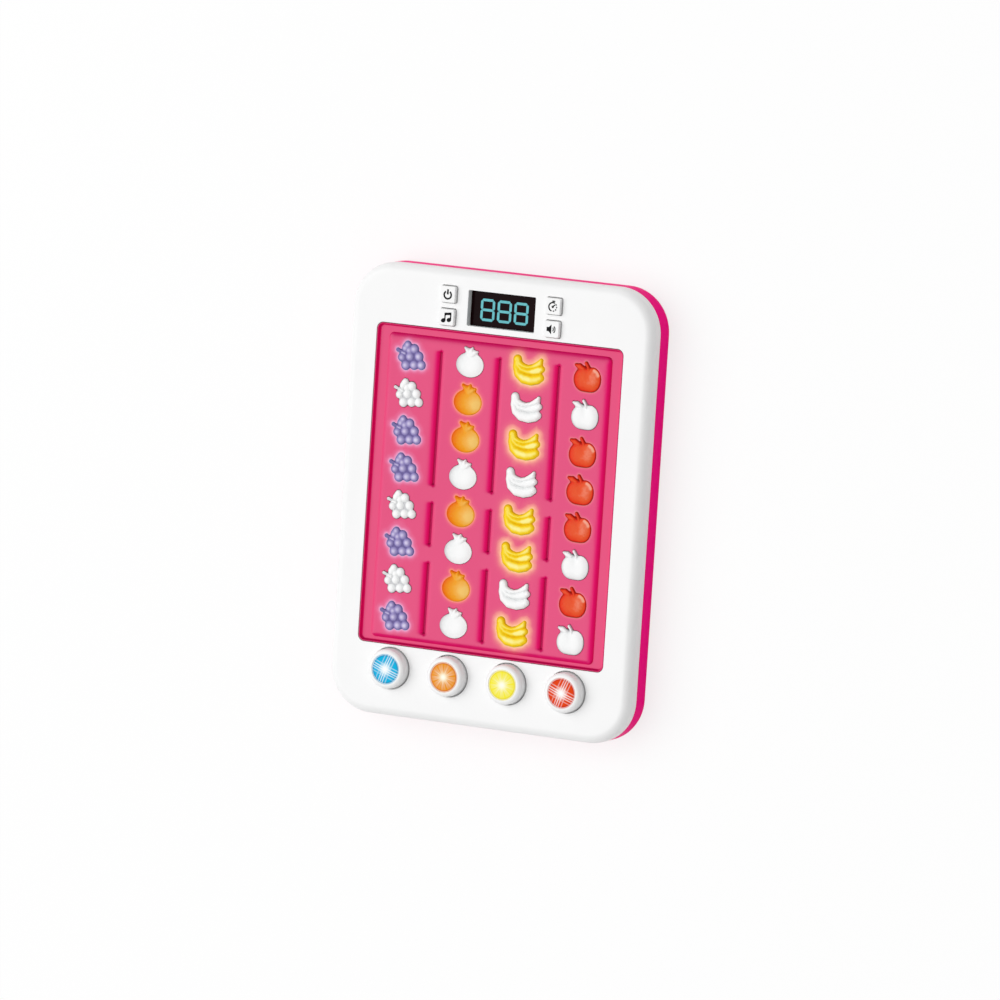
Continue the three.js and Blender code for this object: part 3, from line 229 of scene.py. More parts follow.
# Keys
KEY_HALF = 3.35
KEY_CORNER_RADIUS = 0.6
KEY_CORNER_TAPER = 0.6
KEY_EDGE_ROUND = 0.35
KEY_FLANGE_HALF = 4.0
KEY_FLANGE_CORNER_RADIUS = 0.3
KEY_STEM_RADIUS = 1.5
KEY_DOME_FOOT = (3.1, 3.6)
KEY_DOME_HEAD = (1.4, 1.9)
KEY_DOME_HEIGHT = 4
KEY_DOME_CAP = 1.0
KEY_DOME_COLLAR = 0.5
KEY_DOME_ROUND = 0.15
FLANGE_THICKNESS = 1
MOVING_GAP = 0.3
PRINT_THICKNESS = 0.05
PRINT_ROOT = 0.1

# Display
WINDOW_CORNER_RADIUS = 0.4
WINDOW_EDGE = 0.1
DIGIT_HEIGHT = 9.14
DIGIT_WIDTH = 6.4
DIGIT_DROP = 0.4
DIGIT_PITCH = 7.6
DIGIT_COUNT = 3
SEGMENT_WIDTH = 1.05
SEGMENT_GAP = 0.14

# Facets. A slot's round ends stop a trim short of meeting, so that none of its corners coincide.
EDGE_STEPS = 8
FILLET_STEPS = 4
CORNER_STEPS = 16
SMALL_CORNER_STEPS = 5
DISC_STEPS = 72
SMALL_DISC_STEPS = 28
CROWN_STEPS = 12
ROUND_END_TRIM = 0.01
CREASE_ANGLE = 38
FAR = 1e9

# Camera: the photo's own directions, and the point that it looks at
VIEW_RIGHT = (0.8934, 0.0635, -0.4448)
VIEW_UP = (-0.1127, 0.9900, -0.0852)
VIEW_BACK = (0.4350, 0.1262, 0.8916)
AIM_POINT = (-3.04, -0.53, 3.24)
CAMERA_DISTANCE = 3402
LENS_MM = 300
SENSOR_MM = 36

# Studio, in metres
WORLD_LIGHT = 0.5
KEY_DIRECTION = (-0.5, 0.08, 0.86)
KEY_DISTANCE = 6
KEY_SIZE = 7
KEY_POWER = 300
FLOOR_SIZE = 24
FLOOR_WHITENESS = 0.78


def node_box(name):
    """Lowest and highest corner of a CAD node, in millimetres."""
    low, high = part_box(name)
    return low / MM, high / MM


def middle(name):
    low, high = node_box(name)
    return (low + high) / 2


front_high = node_box("front_shell")[1]
panel_low, panel_high = node_box("fruit_panel")
window_low, window_high = node_box("display_window")
board_low, board_high = node_box("led_board")
speaker_low, speaker_high = node_box("speaker")
socket_low, socket_high = node_box("charge_socket")
shell_screws = [middle(f"shell_screw_{i}") for i in range(1, 7)]
board_screws = [middle(f"board_screw_{i}") for i in range(1, 9)]
lamp_posts, main_posts, play_posts = board_screws[:4], board_screws[4:6], board_screws[6:]
play_spots = {colour: middle(f"play_cap_{colour}") for colour in ("blue", "orange", "yellow", "red")}
key_spots = {name: middle(f"key_{name}") for name in ("power", "music", "timer", "volume")}

case_x, case_y, face_z = front_high
ceiling_z = face_z - FACE_WALL
back_z = node_box("rear_shell")[0].z
parting_z = back_z + REAR_DEPTH
floor_z = back_z + CASE_WALL
screw_seat_z = back_z + SCREW_SEAT
tray_x = panel_high.x - PANEL_LIP
tray_y = (panel_high.y - panel_low.y) / 2 - PANEL_LIP
panel_y = (panel_high.y + panel_low.y) / 2
rim_z = face_z - RIM_DROP
channel_z = face_z - CHANNEL_DEPTH
field_z = face_z - FIELD_DROP
panel_under_z = channel_z - PANEL_FLOOR
lamp_board_z = panel_low.z
main_board_z = node_box("main_board")[1].z
field_y = (board_low.y + board_high.y) / 2
field_half_y = (board_high.y - board_low.y) / 2 + BOARD_END_GAP
field_top = field_y + field_half_y
columns = {kind: middle(f"{kind}_lens_strip").x for kind in LIT_ROWS}
column_x = list(columns.values())
field_half_x = max(column_x) + FIELD_SIDE_MARGIN
window_y = (window_low.y + window_high.y) / 2
window_half_y = (window_high.y - window_low.y) / 2
window_z = window_high.z
flange_top_z = ceiling_z - MOVING_GAP
flange_under_z = flange_top_z - FLANGE_THICKNESS
cap_top_z = node_box("play_cap_blue")[1].z
cap_ledge_z = cap_top_z - CAP_LIP
key_top_z = node_box("key_power")[1].z

# Lane, lower end and upper end of each groove, whose bridges break it in three
bridges = [field_top - share * 2 * field_half_y for share in GROOVE_BRIDGE_SHARES]
groove_tops = [field_top - GROOVE_TOP_INSET, *[y - GROOVE_BRIDGE / 2 for y in bridges]]
groove_feet = [*[y + GROOVE_BRIDGE / 2 for y in bridges], field_y - field_half_y + GROOVE_BOTTOM_INSET]
grooves = [((a + b) / 2, low, high) for a, b in zip(column_x, column_x[1:])
           for low, high in zip(groove_feet, groove_tops)]


def window_spots(kind, marks="LW"):
    """Places of a column's windows that bear one of the marks, from the top."""
    return [(columns[kind], field_top - FIELD_TOP_MARGIN - i * ROW_PITCH)
            for i, mark in enumerate(LIT_ROWS[kind]) if mark in marks]


# Outlines, counterclockwise

def rounded_rect(half_x, half_y, radius, x=0, y=0, steps=CORNER_STEPS):
    points = []
    for corner in range(4):
        cx = (half_x - radius) * (1 if corner in (0, 3) else -1)
        cy = (half_y - radius) * (1 if corner < 2 else -1)
        for i in range(steps + 1):
            angle = math.pi / 2 * (corner + i / steps)
            points.append((x + cx + radius * math.cos(angle), y + cy + radius * math.sin(angle)))
    return np.array(points)


def round_ended(half_x, half_y, x=0, y=0, steps=SMALL_CORNER_STEPS):
    return rounded_rect(half_x, half_y, min(half_x, half_y) - ROUND_END_TRIM, x, y, steps)


def circle(radius, x=0, y=0, steps=DISC_STEPS):
    angles = np.arange(steps) * 2 * math.pi / steps
    return np.column_stack([x + radius * np.cos(angles), y + radius * np.sin(angles)])


def shifted(outline, distance):
    """The outline moved outwards by a distance."""
    along = np.roll(outline, -1, axis=0) - np.roll(outline, 1, axis=0)
    along /= np.hypot(*along.T)[:, None]
    return outline + distance * np.column_stack([along[:, 1], -along[:, 0]])


def encloses(outline, x, y):
    a, b = outline, np.roll(outline, -1, axis=0)
    crossed = (a[:, 1] > y) != (b[:, 1] > y)
    a, b = a[crossed], b[crossed]
    meets = a[:, 0] + (b[:, 0] - a[:, 0]) * (y - a[:, 1]) / (b[:, 1] - a[:, 1])
    return np.count_nonzero(x < meets) % 2 == 1


def evenly_spaced(loop, pitch=1, count=0):
    """A closed line's points at an even pitch, or that many of them."""
    closed = np.vstack([loop, loop[:1]])
    along = np.concatenate([[0], np.cumsum(np.hypot(*np.diff(closed, axis=0).T))])
    count = count or round(along[-1] / pitch)
    marks = np.arange(count) * along[-1] / count
    return np.column_stack([np.interp(marks, along, closed[:, k]) for k in (0, 1)])


def hex_grid(half_x, half_y, pitch, x=0, y=0):
    """Points of a triangular grid over a rectangle."""
    points = []
    for k, row in enumerate(np.arange(-half_y, half_y + pitch / 2, pitch * math.sqrt(3) / 2)):
        line = np.arange(-half_x + (k % 2) * pitch / 2, half_x + pitch / 4, pitch)
        points.append(np.column_stack([line, np.full(len(line), row)]))
    return np.vstack(points) + (x, y)


def softened(profile, steps=FILLET_STEPS):
    """A profile of (across, height) points. A third value rounds that corner with this radius."""
    points = []
    for i, (across, height, *radius) in enumerate(profile):
        here = Vector((across, height))
        if not radius:
            points.append((across, height))
            continue
        before = (Vector(profile[i - 1][:2]) - here).normalized()
        after = (Vector(profile[(i + 1) % len(profile)][:2]) - here).normalized()
        start, end = here + before * radius[0], here + after * radius[0]
        weight = math.sqrt((1 - before.dot(after)) / 2)
        for k in range(steps + 1):
            t = k / steps
            shares = ((1 - t) ** 2, 2 * t * (1 - t) * weight, t ** 2)
            point = (shares[0] * start + shares[1] * here + shares[2] * end) / sum(shares)
            points.append((point.x, point.y))
    return points


class Solid:
    """A closed mesh under construction. Every ring of corners runs counterclockwise as seen from above."""

    def __init__(self):
        self.corners = []
        self.faces = []

    def ring(self, outline, height):
        first = len(self.corners)
        heights = height(outline) if callable(height) else np.full(len(outline), float(height))
        self.corners += [(float(x), float(y), float(z)) for (x, y), z in zip(outline, heights)]
        return list(range(first, len(self.corners)))

    def wall(self, start, end):
        """Faces between two rings. They look outwards on the way up, and upwards on the way in."""
        count = max(len(start), len(end))
        for i in range(count):
            j = (i + 1) % count
            corners = (start[i % len(start)], start[j % len(start)], end[j % len(end)], end[i % len(end)])
            self.faces.append(tuple(dict.fromkeys(corners)))

    def skin(self, stations, closed=False):
        """Walls between (outline, height) stations, and their rings."""
        rings = [self.ring(outline, height) for outline, height in stations]
        for start, end in zip(rings, rings[1:] + (rings[:1] if closed else [])):
            self.wall(start, end)
        return rings

    def fill(self, outer, holes=(), spots=(), up=True):
        """A face inside one ring and outside the others, with spare corners inside it."""
        rings = [outer, *holes]
        owner = [k for k, ring in enumerate(rings) for _ in ring] + [-1] * len(spots)
        source = [i for ring in rings for i in ring] + list(spots)
        edges = []
        for ring in rings:
            first = len(edges)
            edges += [(first + k, first + (k + 1) % len(ring)) for k in range(len(ring))]
        flat = [Vector(self.corners[i][:2]) for i in source]
        places, _, triangles, origins, _, _ = delaunay_2d_cdt(flat, edges, [], 1, 1e-6)
        outlines = [np.array([self.corners[i][:2] for i in ring]) for ring in rings]
        for triangle in triangles:
            ids = [origins[k][0] for k in triangle]
            hole = owner[ids[0]]
            if hole > 0 and all(owner[i] == hole for i in ids):
                centre = sum((places[k] for k in triangle), Vector((0, 0))) / 3
                if encloses(outlines[hole], centre.x, centre.y):
                    continue
            face = [source[i] for i in ids]
            self.faces.append(tuple(face if up else face[::-1]))

    def turned(self, profile, x=0, y=0, steps=DISC_STEPS, closed=False):
        """A turned shape from (radius, height) points that run up the outside and in over the top."""
        stations = [(circle(r, x, y, steps) if r else np.array([(x, y)]), z) for r, z in profile]
        return self.skin(stations, closed)

    def prism(self, outline, low, high, edge=0):
        """A straight piece between two heights, with its upper edge rounded."""
        profile = softened([(0, low), (0, high, edge), (2 * edge, high)]) if edge else [(0, low), (0, high)]
        rings = self.skin([(shifted(outline, -inset) if inset else outline, z) for inset, z in profile])
        self.fill(rings[0], up=False)
        self.fill(rings[-1])

    def boss(self, spot, foot, root, radius=POST_RADIUS, pilot=POST_PILOT_RADIUS, depth=POST_PILOT_DEPTH):
        """A post with a screw's pilot hole, which hangs from a ceiling. Returns the ring at its root."""
        stations = [(pilot, foot + depth), (pilot, foot), (radius, foot), (radius, root)]
        rings = self.turned(stations, spot.x, spot.y, SMALL_DISC_STEPS)
        self.fill(rings[0], up=False)
        return rings[-1]

    def add(self, other, x, y):
        first = len(self.corners)
        self.corners += [(cx + x, cy + y, cz) for cx, cy, cz in other.corners]
        self.faces += [tuple(i + first for i in face) for face in other.faces]

    def mesh(self, name):
        mesh = bpy.data.meshes.new(name)
        mesh.from_pydata([(x * MM, y * MM, z * MM) for x, y, z in self.corners], [], self.faces)
        mesh.shade_smooth()
        mesh.set_sharp_from_angle(angle=math.radians(CREASE_ANGLE))
        return mesh


def turned_solid(profile, spot, steps=DISC_STEPS, closed=False, fillets=FILLET_STEPS):
    solid = Solid()
    solid.turned(softened(profile, fillets), spot.x, spot.y, steps, closed)
    return solid


# Looks

class Nodes:
    """A node tree under construction."""

    def __init__(self, tree):
        self.tree = tree

    def connect(self, socket, value):
        if isinstance(value, bpy.types.NodeSocket):
            self.tree.links.new(value, socket)
        elif socket.type == "RGBA":
            socket.default_value = (*value, 1)
        else:
            socket.default_value = value

    def node(self, kind, inputs=None, **settings):
        made = self.tree.nodes.new(f"ShaderNode{kind}")
        for key, value in settings.items():
            setattr(made, key, value)
        for key, value in (inputs or {}).items():
            self.connect(made.inputs[key], value)
        return made

    def math(self, operation, *values):
        return self.node("Math", dict(enumerate(values)), operation=operation).outputs["Value"]

    def product(self, value, *others):
        for other in others:
            value = self.math("MULTIPLY", value, other)
        return value

    def vector(self, operation, *values, output="Vector"):
        return self.node("VectorMath", dict(enumerate(values)), operation=operation).outputs[output]

    def ranged(self, value, low, high, to_low, to_high, smooth=False):
        inputs = {"Value": value, "From Min": low, "From Max": high, "To Min": to_low, "To Max": to_high}
        kind = "SMOOTHSTEP" if smooth else "LINEAR"
        return self.node("MapRange", inputs, interpolation_type=kind).outputs["Result"]

    def mixed(self, share, first, second, blend="MIX"):
        """Two colours mixed. The node's colours go in at sockets 6 and 7, and come out at 2."""
        inputs = {0: share, 6: first, 7: second}
        return self.node("Mix", inputs, data_type="RGBA", blend_type=blend).outputs[2]

    def times(self, colour, share):
        """A colour multiplied by a number or by another colour."""
        other = (share, share, share) if isinstance(share, float) else share
        return self.mixed(1.0, colour, other, "MULTIPLY")

    def ramp(self, value, stops):
        made = self.node("ValToRGB", {"Fac": value})
        band = made.color_ramp
        while len(band.elements) < len(stops):
            band.elements.new(0.5)
        for element, (position, colour) in zip(band.elements, stops):
            element.position = position
            element.color = (*colour, 1)
        return made.outputs["Color"]


class Look(Nodes):
    """A slot's material under construction, with its pattern fixed to the piece."""

    def __init__(self, slot):
        self.material = bpy.data.materials.new(f"{slot}_finish")
        self.material.use_nodes = True
        super().__init__(self.material.node_tree)
        self.shader = self.tree.nodes["Principled BSDF"]
        self.where = self.node("TexCoord").outputs["Object"]

    def set(self, **inputs):
        for key, value in inputs.items():
            self.connect(self.shader.inputs[key.replace("_", " ")], value)

    def attribute(self, name, output="Fac"):
        return self.node("Attribute", attribute_name=name).outputs[output]

    def noise(self, size, detail, stretch=None):
        """Cloudy pattern with features of about that size in millimetres."""
        where = self.where
        if stretch:
            where = self.node("Mapping", {"Vector": where, "Scale": stretch}).outputs["Vector"]
        inputs = {"Vector": where, "Scale": 1 / (size * MM), "Detail": detail}
        return self.node("TexNoise", inputs).outputs["Fac"]

    def clouds(self, size, detail, low, high, span=(0.3, 0.7), stretch=None):
        """The same pattern between two values, which it reaches at the ends of its span."""
        return self.ranged(self.noise(size, detail, stretch), *span, low, high)

    def bump(self, height, depth):
        """Relief of that depth in millimetres."""
        self.set(Normal=self.node("Bump", {"Height": height, "Distance": depth * MM}).outputs["Normal"])

    def worn(self, roughness, wear, grain):
        """Handling marks that are rougher by the wear, over a moulding's fine grain."""
        self.set(Roughness=self.clouds(5, 7, roughness, roughness + wear, (0.42, 0.72), (1, 0.35, 1)))
        self.bump(self.noise(0.45, 4), grain)


def moulding(slot, colour, roughness, grain, wear, gloss, shade):
    """Moulded plastic with flow clouds, handling marks and a fine grain."""
    look = Look(slot)
    darker = tuple(c * shade for c in colour)
    look.set(Base_Color=look.mixed(look.clouds(38, 2, 0, 1), darker, colour), Specular_IOR_Level=gloss)
    look.worn(roughness, wear, grain)
    return look.material


# Each moulding: colour, roughness, depth of the grain, wear, gloss, and shade of its flow clouds
MOULDINGS = {
    "shell_white": ((0.875, 0.875, 0.875), 0.34, 0.003, 0.07, 0.5, 0.985),
    "case_magenta": ((1.0, 0.0, 0.235), 0.32, 0.003, 0.08, 0.02, 0.97),
    "inner_white": ((0.82, 0.82, 0.80), 0.5, 0.008, 0.1, 0.4, 0.95),
    "rubber_black": ((0.022, 0.022, 0.024), 0.75, 0.02, 0.15, 0.3, 0.8),
    "silicone": ((0.68, 0.68, 0.66), 0.45, 0.01, 0.12, 0.4, 0.9),
    "print_black": ((0.006, 0.006, 0.007), 0.5, 0.006, 0.1, 0.06, 0.7),
    "wire_jacket": ((0.42, 0.015, 0.015), 0.45, 0.006, 0.1, 0.5, 0.85),
    "ribbon_film": ((0.76, 0.75, 0.70), 0.38, 0.004, 0.12, 0.5, 0.9),
    "display_body": ((0.035, 0.035, 0.04), 0.55, 0.01, 0.1, 0.4, 0.8),
}


def metal(slot, colour, roughness, grain, stretch):
    """Plated or drawn metal with fine streaks."""
    look = Look(slot)
    streaks = look.clouds(0.6, 5, 0, 1, stretch=stretch)
    dull = tuple(c * 0.8 for c in colour)
    look.set(Base_Color=look.mixed(streaks, dull, colour), Metallic=1.0)
    look.set(Roughness=look.ranged(streaks, 0, 1, roughness, roughness + 0.14))
    look.bump(look.noise(0.3, 4, stretch), grain)
    return look.material


# Each metal: colour, roughness, depth of the grain, and stretch of its streaks
METALS = {
    "steel": ((0.62, 0.63, 0.64), 0.26, 0.006, (1, 1, 1)),
    "speaker_metal": ((0.26, 0.26, 0.27), 0.4, 0.006, (1, 1, 0.2)),
    "battery_foil": ((0.58, 0.6, 0.63), 0.34, 0.02, (1, 0.1, 1)),
}

# Panel colour with painted shade and a painted sheen: from the deep walls that face right or stand steep to
# the paler flats
PANEL_STOPS = ((0.0, (0.78, 0.0, 0.12)), (0.37, (0.85, 0.0, 0.145)), (0.63, (0.86, 0.008, 0.165)),
               (0.83, (0.82, 0.035, 0.19)), (0.95, (0.80, 0.07, 0.208)), (1.0, (0.78, 0.086, 0.219)))
# Painted shade: the way a surface must face to keep the flats' colour, so that walls facing right deepen
# most
PANEL_SHADE_FACING = (-0.35, 0, 1)


def panel_finish():
    """Pink semi-gloss moulding with painted shade: deeper on steep walls, on walls that face right, up or
    down, and in the grooves; with a painted glow round the lit windows.
    """
    look = Look("panel_pink")
    normal = look.node("TexCoord").outputs["Normal"]
    crease = look.attribute("crease")
    # Painted shade and sheen: the tint deepens as the surface turns right or steep, and in the grooves
    level = look.vector("DOT_PRODUCT", normal, PANEL_SHADE_FACING, output="Value")
    level = look.math("SUBTRACT", level, look.product(crease, 0.3))
    tint = look.ramp(look.ranged(level, 0.4, 1.0, 0, 1), PANEL_STOPS)
    # Painted shade: walls that face up (+Y) darken to half, walls that face down darken a little, and the
    # grooves' floors darken too
    upward = look.node("SeparateXYZ", {"Vector": normal}).outputs["Y"]
    shade = look.product(look.ranged(upward, 0, 1, 1, 0.5), look.ranged(upward, -1, 0, 0.8, 1),
                         look.ranged(crease, 0, 1, 1, 0.52), look.clouds(30, 2, 0.97, 1.0))
    look.set(Base_Color=look.times(tint, shade), Specular_IOR_Level=0.1)
    look.worn(0.36, 0.07, 0.004)
    # Painted glow round the lit windows, as emission on the panel
    glow = look.times(look.attribute("glow", "Color"), look.clouds(1.6, 4, 0.85, 1.1))
    look.set(Emission_Color=glow, Emission_Strength=1.0)
    return look.material


def window_finish(slot, stops, light, gloss):
    """Milky window moulding. Its tone value sets how pale the tint is, with painted shade in the creases and
    at the edges, painted highlights up the domes and painted light from one side.
    """
    look = Look(slot)
    tint = look.ramp(look.math("ADD", look.attribute("tone"), look.clouds(1.1, 4, -0.04, 0.04)), stops)
    look.set(Base_Color=look.times(tint, 1.0 - light), Emission_Color=tint, Emission_Strength=light)
    look.set(Roughness=look.clouds(2.5, 6, 0.22, 0.3, (0.4, 0.7)), Specular_IOR_Level=gloss)
    look.bump(look.noise(0.35, 3), 0.004)
    return look.material


# Lit tints by tone, from the painted shade of the creases to the painted highlight on the tops
WINDOW_STOPS = {
    "grape": ((0.0, (0.15, 0.12, 0.31)), (0.3, (0.25, 0.21, 0.46)), (0.6, (0.37, 0.32, 0.58)),
              (1.0, (0.70, 0.64, 0.85))),
    "orange": ((0.0, (0.74, 0.11, 0.0)), (0.3, (0.82, 0.22, 0.003)), (0.6, (0.87, 0.35, 0.02)),
               (1.0, (0.91, 0.56, 0.15))),
    "banana": ((0.0, (0.66, 0.34, 0.0)), (0.25, (0.84, 0.50, 0.003)), (0.6, (0.94, 0.68, 0.02)),
               (1.0, (0.98, 0.88, 0.30))),
    "apple": ((0.0, (0.42, 0.008, 0.004)), (0.3, (0.76, 0.03, 0.01)), (0.65, (0.81, 0.10, 0.028)),
              (1.0, (0.94, 0.40, 0.28))),
}
# Unlit tint by tone: grey in the painted shade of the creases, white on the tops
WHITE_STOPS = ((0.0, (0.58, 0.58, 0.60)), (0.2, (0.74, 0.75, 0.75)), (0.42, (0.87, 0.88, 0.88)),
               (0.7, (0.93, 0.93, 0.93)))

# Painted shading of each fruit, as its tone: where its slopes start, what it gains up them as a painted
# highlight, and what it gains to the right and to the top as painted light from the side
TONES = {"grape": (0.15, 0.8, 0.10, -0.05), "orange": (0.42, 0.24, 0.48, -0.05),
         "banana": (0.22, 0.62, 0.08, -0.03), "apple": (0.38, 0.30, 0.20, 0.05)}
# How quickly the painted highlight climbs each dome
TONE_POWERS = {"grape": 0.65, "orange": 0.7, "banana": 0.8, "apple": 0.6}
# Painted shade that darkens each fruit towards its edge, and how far in it reaches
EDGE_SHADE_TONES = {"grape": 0.3, "orange": 0.3, "banana": 0.15, "apple": 0.65}
EDGE_SHADE_REACH = 0.32

# Painted glow that each lit window leaves on the panel, and how far it reaches
GLOW_COLOURS = {"grape": (0.12, 0.36, 0.50), "orange": (0.30, 0.30, 0.03), "banana": (0.30, 0.55, 0.14),
                "apple": (0.16, 0.16, 0.08)}
GLOW_REACHES = {"grape": 0.85, "orange": 0.65, "banana": 1.3, "apple": 0.5}
GLOW_FALL = 1.3
GLOW_END = 20
UNDERSIDE_GLOW = 0.3

# How steeply the painted shade in a groove deepens towards its floor
GROOVE_SHADE_STEEPNESS = 4


def board_finish():
    """Green board coating with copper tracks under it."""
    look = Look("board_green")
    bricks = look.node("TexBrick", {"Vector": look.where, "Scale": 420.0, "Mortar Size": 0.02,
                                    "Color1": (0.012, 0.13, 0.05), "Color2": (0.015, 0.16, 0.06),
                                    "Mortar": (0.03, 0.22, 0.09)})
    tint = look.mixed(look.clouds(4, 5, 0, 0.3), bricks.outputs["Color"], (0.008, 0.09, 0.035))
    look.set(Base_Color=tint, Roughness=look.clouds(1.5, 5, 0.3, 0.45))
    look.bump(bricks.outputs["Fac"], 0.01)
    return look.material


def glass_finish():
    """Dark tinted window with faint cloudiness and dust."""
    look = Look("display_dark")
    dust = look.clouds(0.5, 8, 0, 0.02, (0.68, 0.8))
    look.set(Base_Color=look.mixed(dust, (0.0075, 0.0009, 0.0016), (0.2, 0.15, 0.16)))
    look.set(Roughness=look.clouds(6, 5, 0.10, 0.18, (0.35, 0.7)), Specular_IOR_Level=0.03)
    look.bump(look.noise(9, 2), 0.004)
    return look.material


def digit_finish():
    """Lit segment with a faint flicker along it."""
    look = Look("display_digits")
    flicker = look.clouds(1.3, 3, 0.85, 1.1)
    look.set(Base_Color=(0.02, 0.06, 0.07), Emission_Color=look.times((0.14, 0.53, 0.57), flicker))
    look.set(Roughness=look.ranged(flicker, 0.85, 1.1, 0.2, 0.35), Emission_Strength=0.85)
    look.set(Specular_IOR_Level=0.1)
    return look.material


# Each lens: deep tint, body tint, heart tint, and whether a cross of light rays shows in it
LENS_TINTS = {
    "blue": ((0.0, 0.24, 0.48), (0.0, 0.44, 0.74), (0.45, 0.85, 0.97), True),
    "orange": ((0.66, 0.15, 0.0), (0.82, 0.28, 0.0), (1.0, 0.72, 0.25), False),
    "yellow": ((0.80, 0.66, 0.01), (0.92, 0.82, 0.03), (1.0, 0.97, 0.5), False),
    "red": ((0.58, 0.02, 0.0), (0.76, 0.05, 0.0), (1.0, 0.62, 0.5), True),
}
# Light rays across a lens: direction in degrees, then each ray's distance from the middle and its strength
RAY_BUNDLES = ((-20, ((-2.7, 0.45), (-1.45, 0.8), (-0.5, 1.0), (0.45, 1.0), (1.7, 0.55))),
               (69, ((-2.2, 0.5), (-0.95, 0.9), (0.05, 1.0), (1.0, 0.8), (2.4, 0.45))))
RAY_WIDTH = 0.38
# Two waves round the lens, whose sum makes the fine rays
RAY_WAVES = (22, 9)


def crossed_rays(look, flat, radius):
    """A bright heart with two bundles of straight rays across it."""
    light = look.ranged(radius, 0, 0.58, 1, 0, True)
    for angle, offsets in RAY_BUNDLES:
        turn = math.radians(angle)
        span = look.vector("DOT_PRODUCT", flat, (-math.sin(turn), math.cos(turn), 0), output="Value")
        for offset, strength in offsets:
            gap = look.math("ABSOLUTE", look.math("SUBTRACT", span, offset * MM))
            ray = look.ranged(gap, 0, RAY_WIDTH * MM, 1, 0, True)
            fade = look.ranged(radius, 0.25, 1, strength, strength / 2)
            light = look.math("MAXIMUM", light, look.product(ray, fade))
    return light


def fine_rays(look, flat, radius):
    """A bright heart with many short rays round it."""
    angle = look.node("TexGradient", {"Vector": flat}, gradient_type="RADIAL").outputs["Fac"]
    waves = [look.product(look.math("SINE", look.product(angle, 2 * math.pi * count)), 0.25)
             for count in RAY_WAVES]
    rays = look.math("ADD", look.math("ADD", *waves), 0.5)
    rays = look.product(rays, look.ranged(radius, 0.12, 0.95, 0.75, 0))
    return look.math("MAXIMUM", rays, look.ranged(radius, 0, 0.5, 1, 0, True))


def lens_finish(colour):
    """Tinted clear lens with the lamp's light spread in it."""
    deep, body, heart, crossed = LENS_TINTS[colour]
    look = Look(f"lens_{colour}")
    local = look.vector("SUBTRACT", look.where, tuple(middle(f"play_lens_{colour}") * MM))
    flat = look.vector("MULTIPLY", local, (1, 1, 0))
    radius = look.math("DIVIDE", look.vector("LENGTH", flat, output="Value"), LENS_RADIUS * MM)
    between = tuple((a + b) / 2 for a, b in zip(heart, body))
    pale = tuple(0.45 + 0.5 * c for c in body)
    tint = look.ramp(radius, ((0.0, heart), (0.22, between), (0.5, body), (0.84, body), (0.92, deep),
                              (0.97, pale)))
    if crossed:
        tint = look.mixed(crossed_rays(look, flat, radius), tint, (1, 1, 1))
    else:
        tint = look.mixed(fine_rays(look, flat, radius), tint, (1, 1, 0.86))
    look.set(Base_Color=look.times(tint, 0.45), Emission_Color=tint, Emission_Strength=0.55)
    look.set(Roughness=look.clouds(1.2, 5, 0.08, 0.2), Specular_IOR_Level=0.05)
    look.bump(look.noise(0.8, 3), 0.003)
    return look.material


looks = {
    **{slot: moulding(slot, *values) for slot, values in MOULDINGS.items()},
    **{slot: metal(slot, *values) for slot, values in METALS.items()},
    **{f"window_{kind}": window_finish(f"window_{kind}", stops, 0.35, 0.06)
       for kind, stops in WINDOW_STOPS.items()},
    **{f"lens_{colour}": lens_finish(colour) for colour in LENS_TINTS},
    "window_white": window_finish("window_white", WHITE_STOPS, 0.0, 0.18),
    "panel_pink": panel_finish(),
    "board_green": board_finish(),
    "display_dark": glass_finish(),
    "display_digits": digit_finish(),
}

replaced = set()


def shown(name, data):
    """A new object in the scene."""
    made = bpy.data.objects.new(name, data)
    bpy.context.scene.collection.objects.link(made)
    return made


def place(solid, name, slot, nodes=(), body="case", **values):
    """Puts a finished solid into the scene as a piece that rides on a body, with values for its corners."""
    mesh = solid.mesh(name)
    for label, numbers in values.items():
        coloured = np.ndim(numbers) == 2
        layer = mesh.attributes.new(label, "FLOAT_COLOR" if coloured else "FLOAT", "POINT")
        layer.data.foreach_set("color" if coloured else "value", np.ravel(numbers))
    mesh.materials.append(looks[slot])
    piece = shown(name, mesh)
    piece.modifiers.new("Normals", "WEIGHTED_NORMAL").keep_sharp = True
    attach(piece, body)
    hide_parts(*nodes)
    replaced.update(nodes)
    return piece


# Case

def case_outline(inset):
    return rounded_rect(case_x - inset, case_y - inset, CASE_CORNER_RADIUS - inset)


def rect_opening(half_x, half_y, radius, x, y, steps=SMALL_CORNER_STEPS):
    return lambda grow: rounded_rect(half_x + grow, half_y + grow, radius + grow, x, y, steps)


def round_opening(radius, x, y):
    return lambda grow: circle(radius + grow, x, y)


def front_openings():
    """Outline by growth, and foot, of each opening in the play face."""
    plain = [(0, ceiling_z)]
    collared = [(0, window_z), (DISPLAY_COLLAR, window_z), (DISPLAY_COLLAR, ceiling_z)]
    tray = rect_opening(tray_x + PANEL_CLEARANCE, tray_y + PANEL_CLEARANCE,
                        PANEL_CORNER_RADIUS + PANEL_CLEARANCE, 0, panel_y, CORNER_STEPS)
    display = rect_opening(window_high.x - DISPLAY_LAP, window_half_y - DISPLAY_LAP, DISPLAY_CORNER_RADIUS,
                           0, window_y)
    half = KEY_HALF + KEY_CLEARANCE
    keys = [rect_opening(half, half, KEY_CORNER_RADIUS + KEY_CLEARANCE, spot.x, spot.y)
            for spot in key_spots.values()]
    buttons = [round_opening(PLAY_RADIUS + PLAY_CLEARANCE, spot.x, spot.y) for spot in play_spots.values()]
    return [(tray, plain), (display, collared), *[(outline, plain) for outline in keys + buttons]]


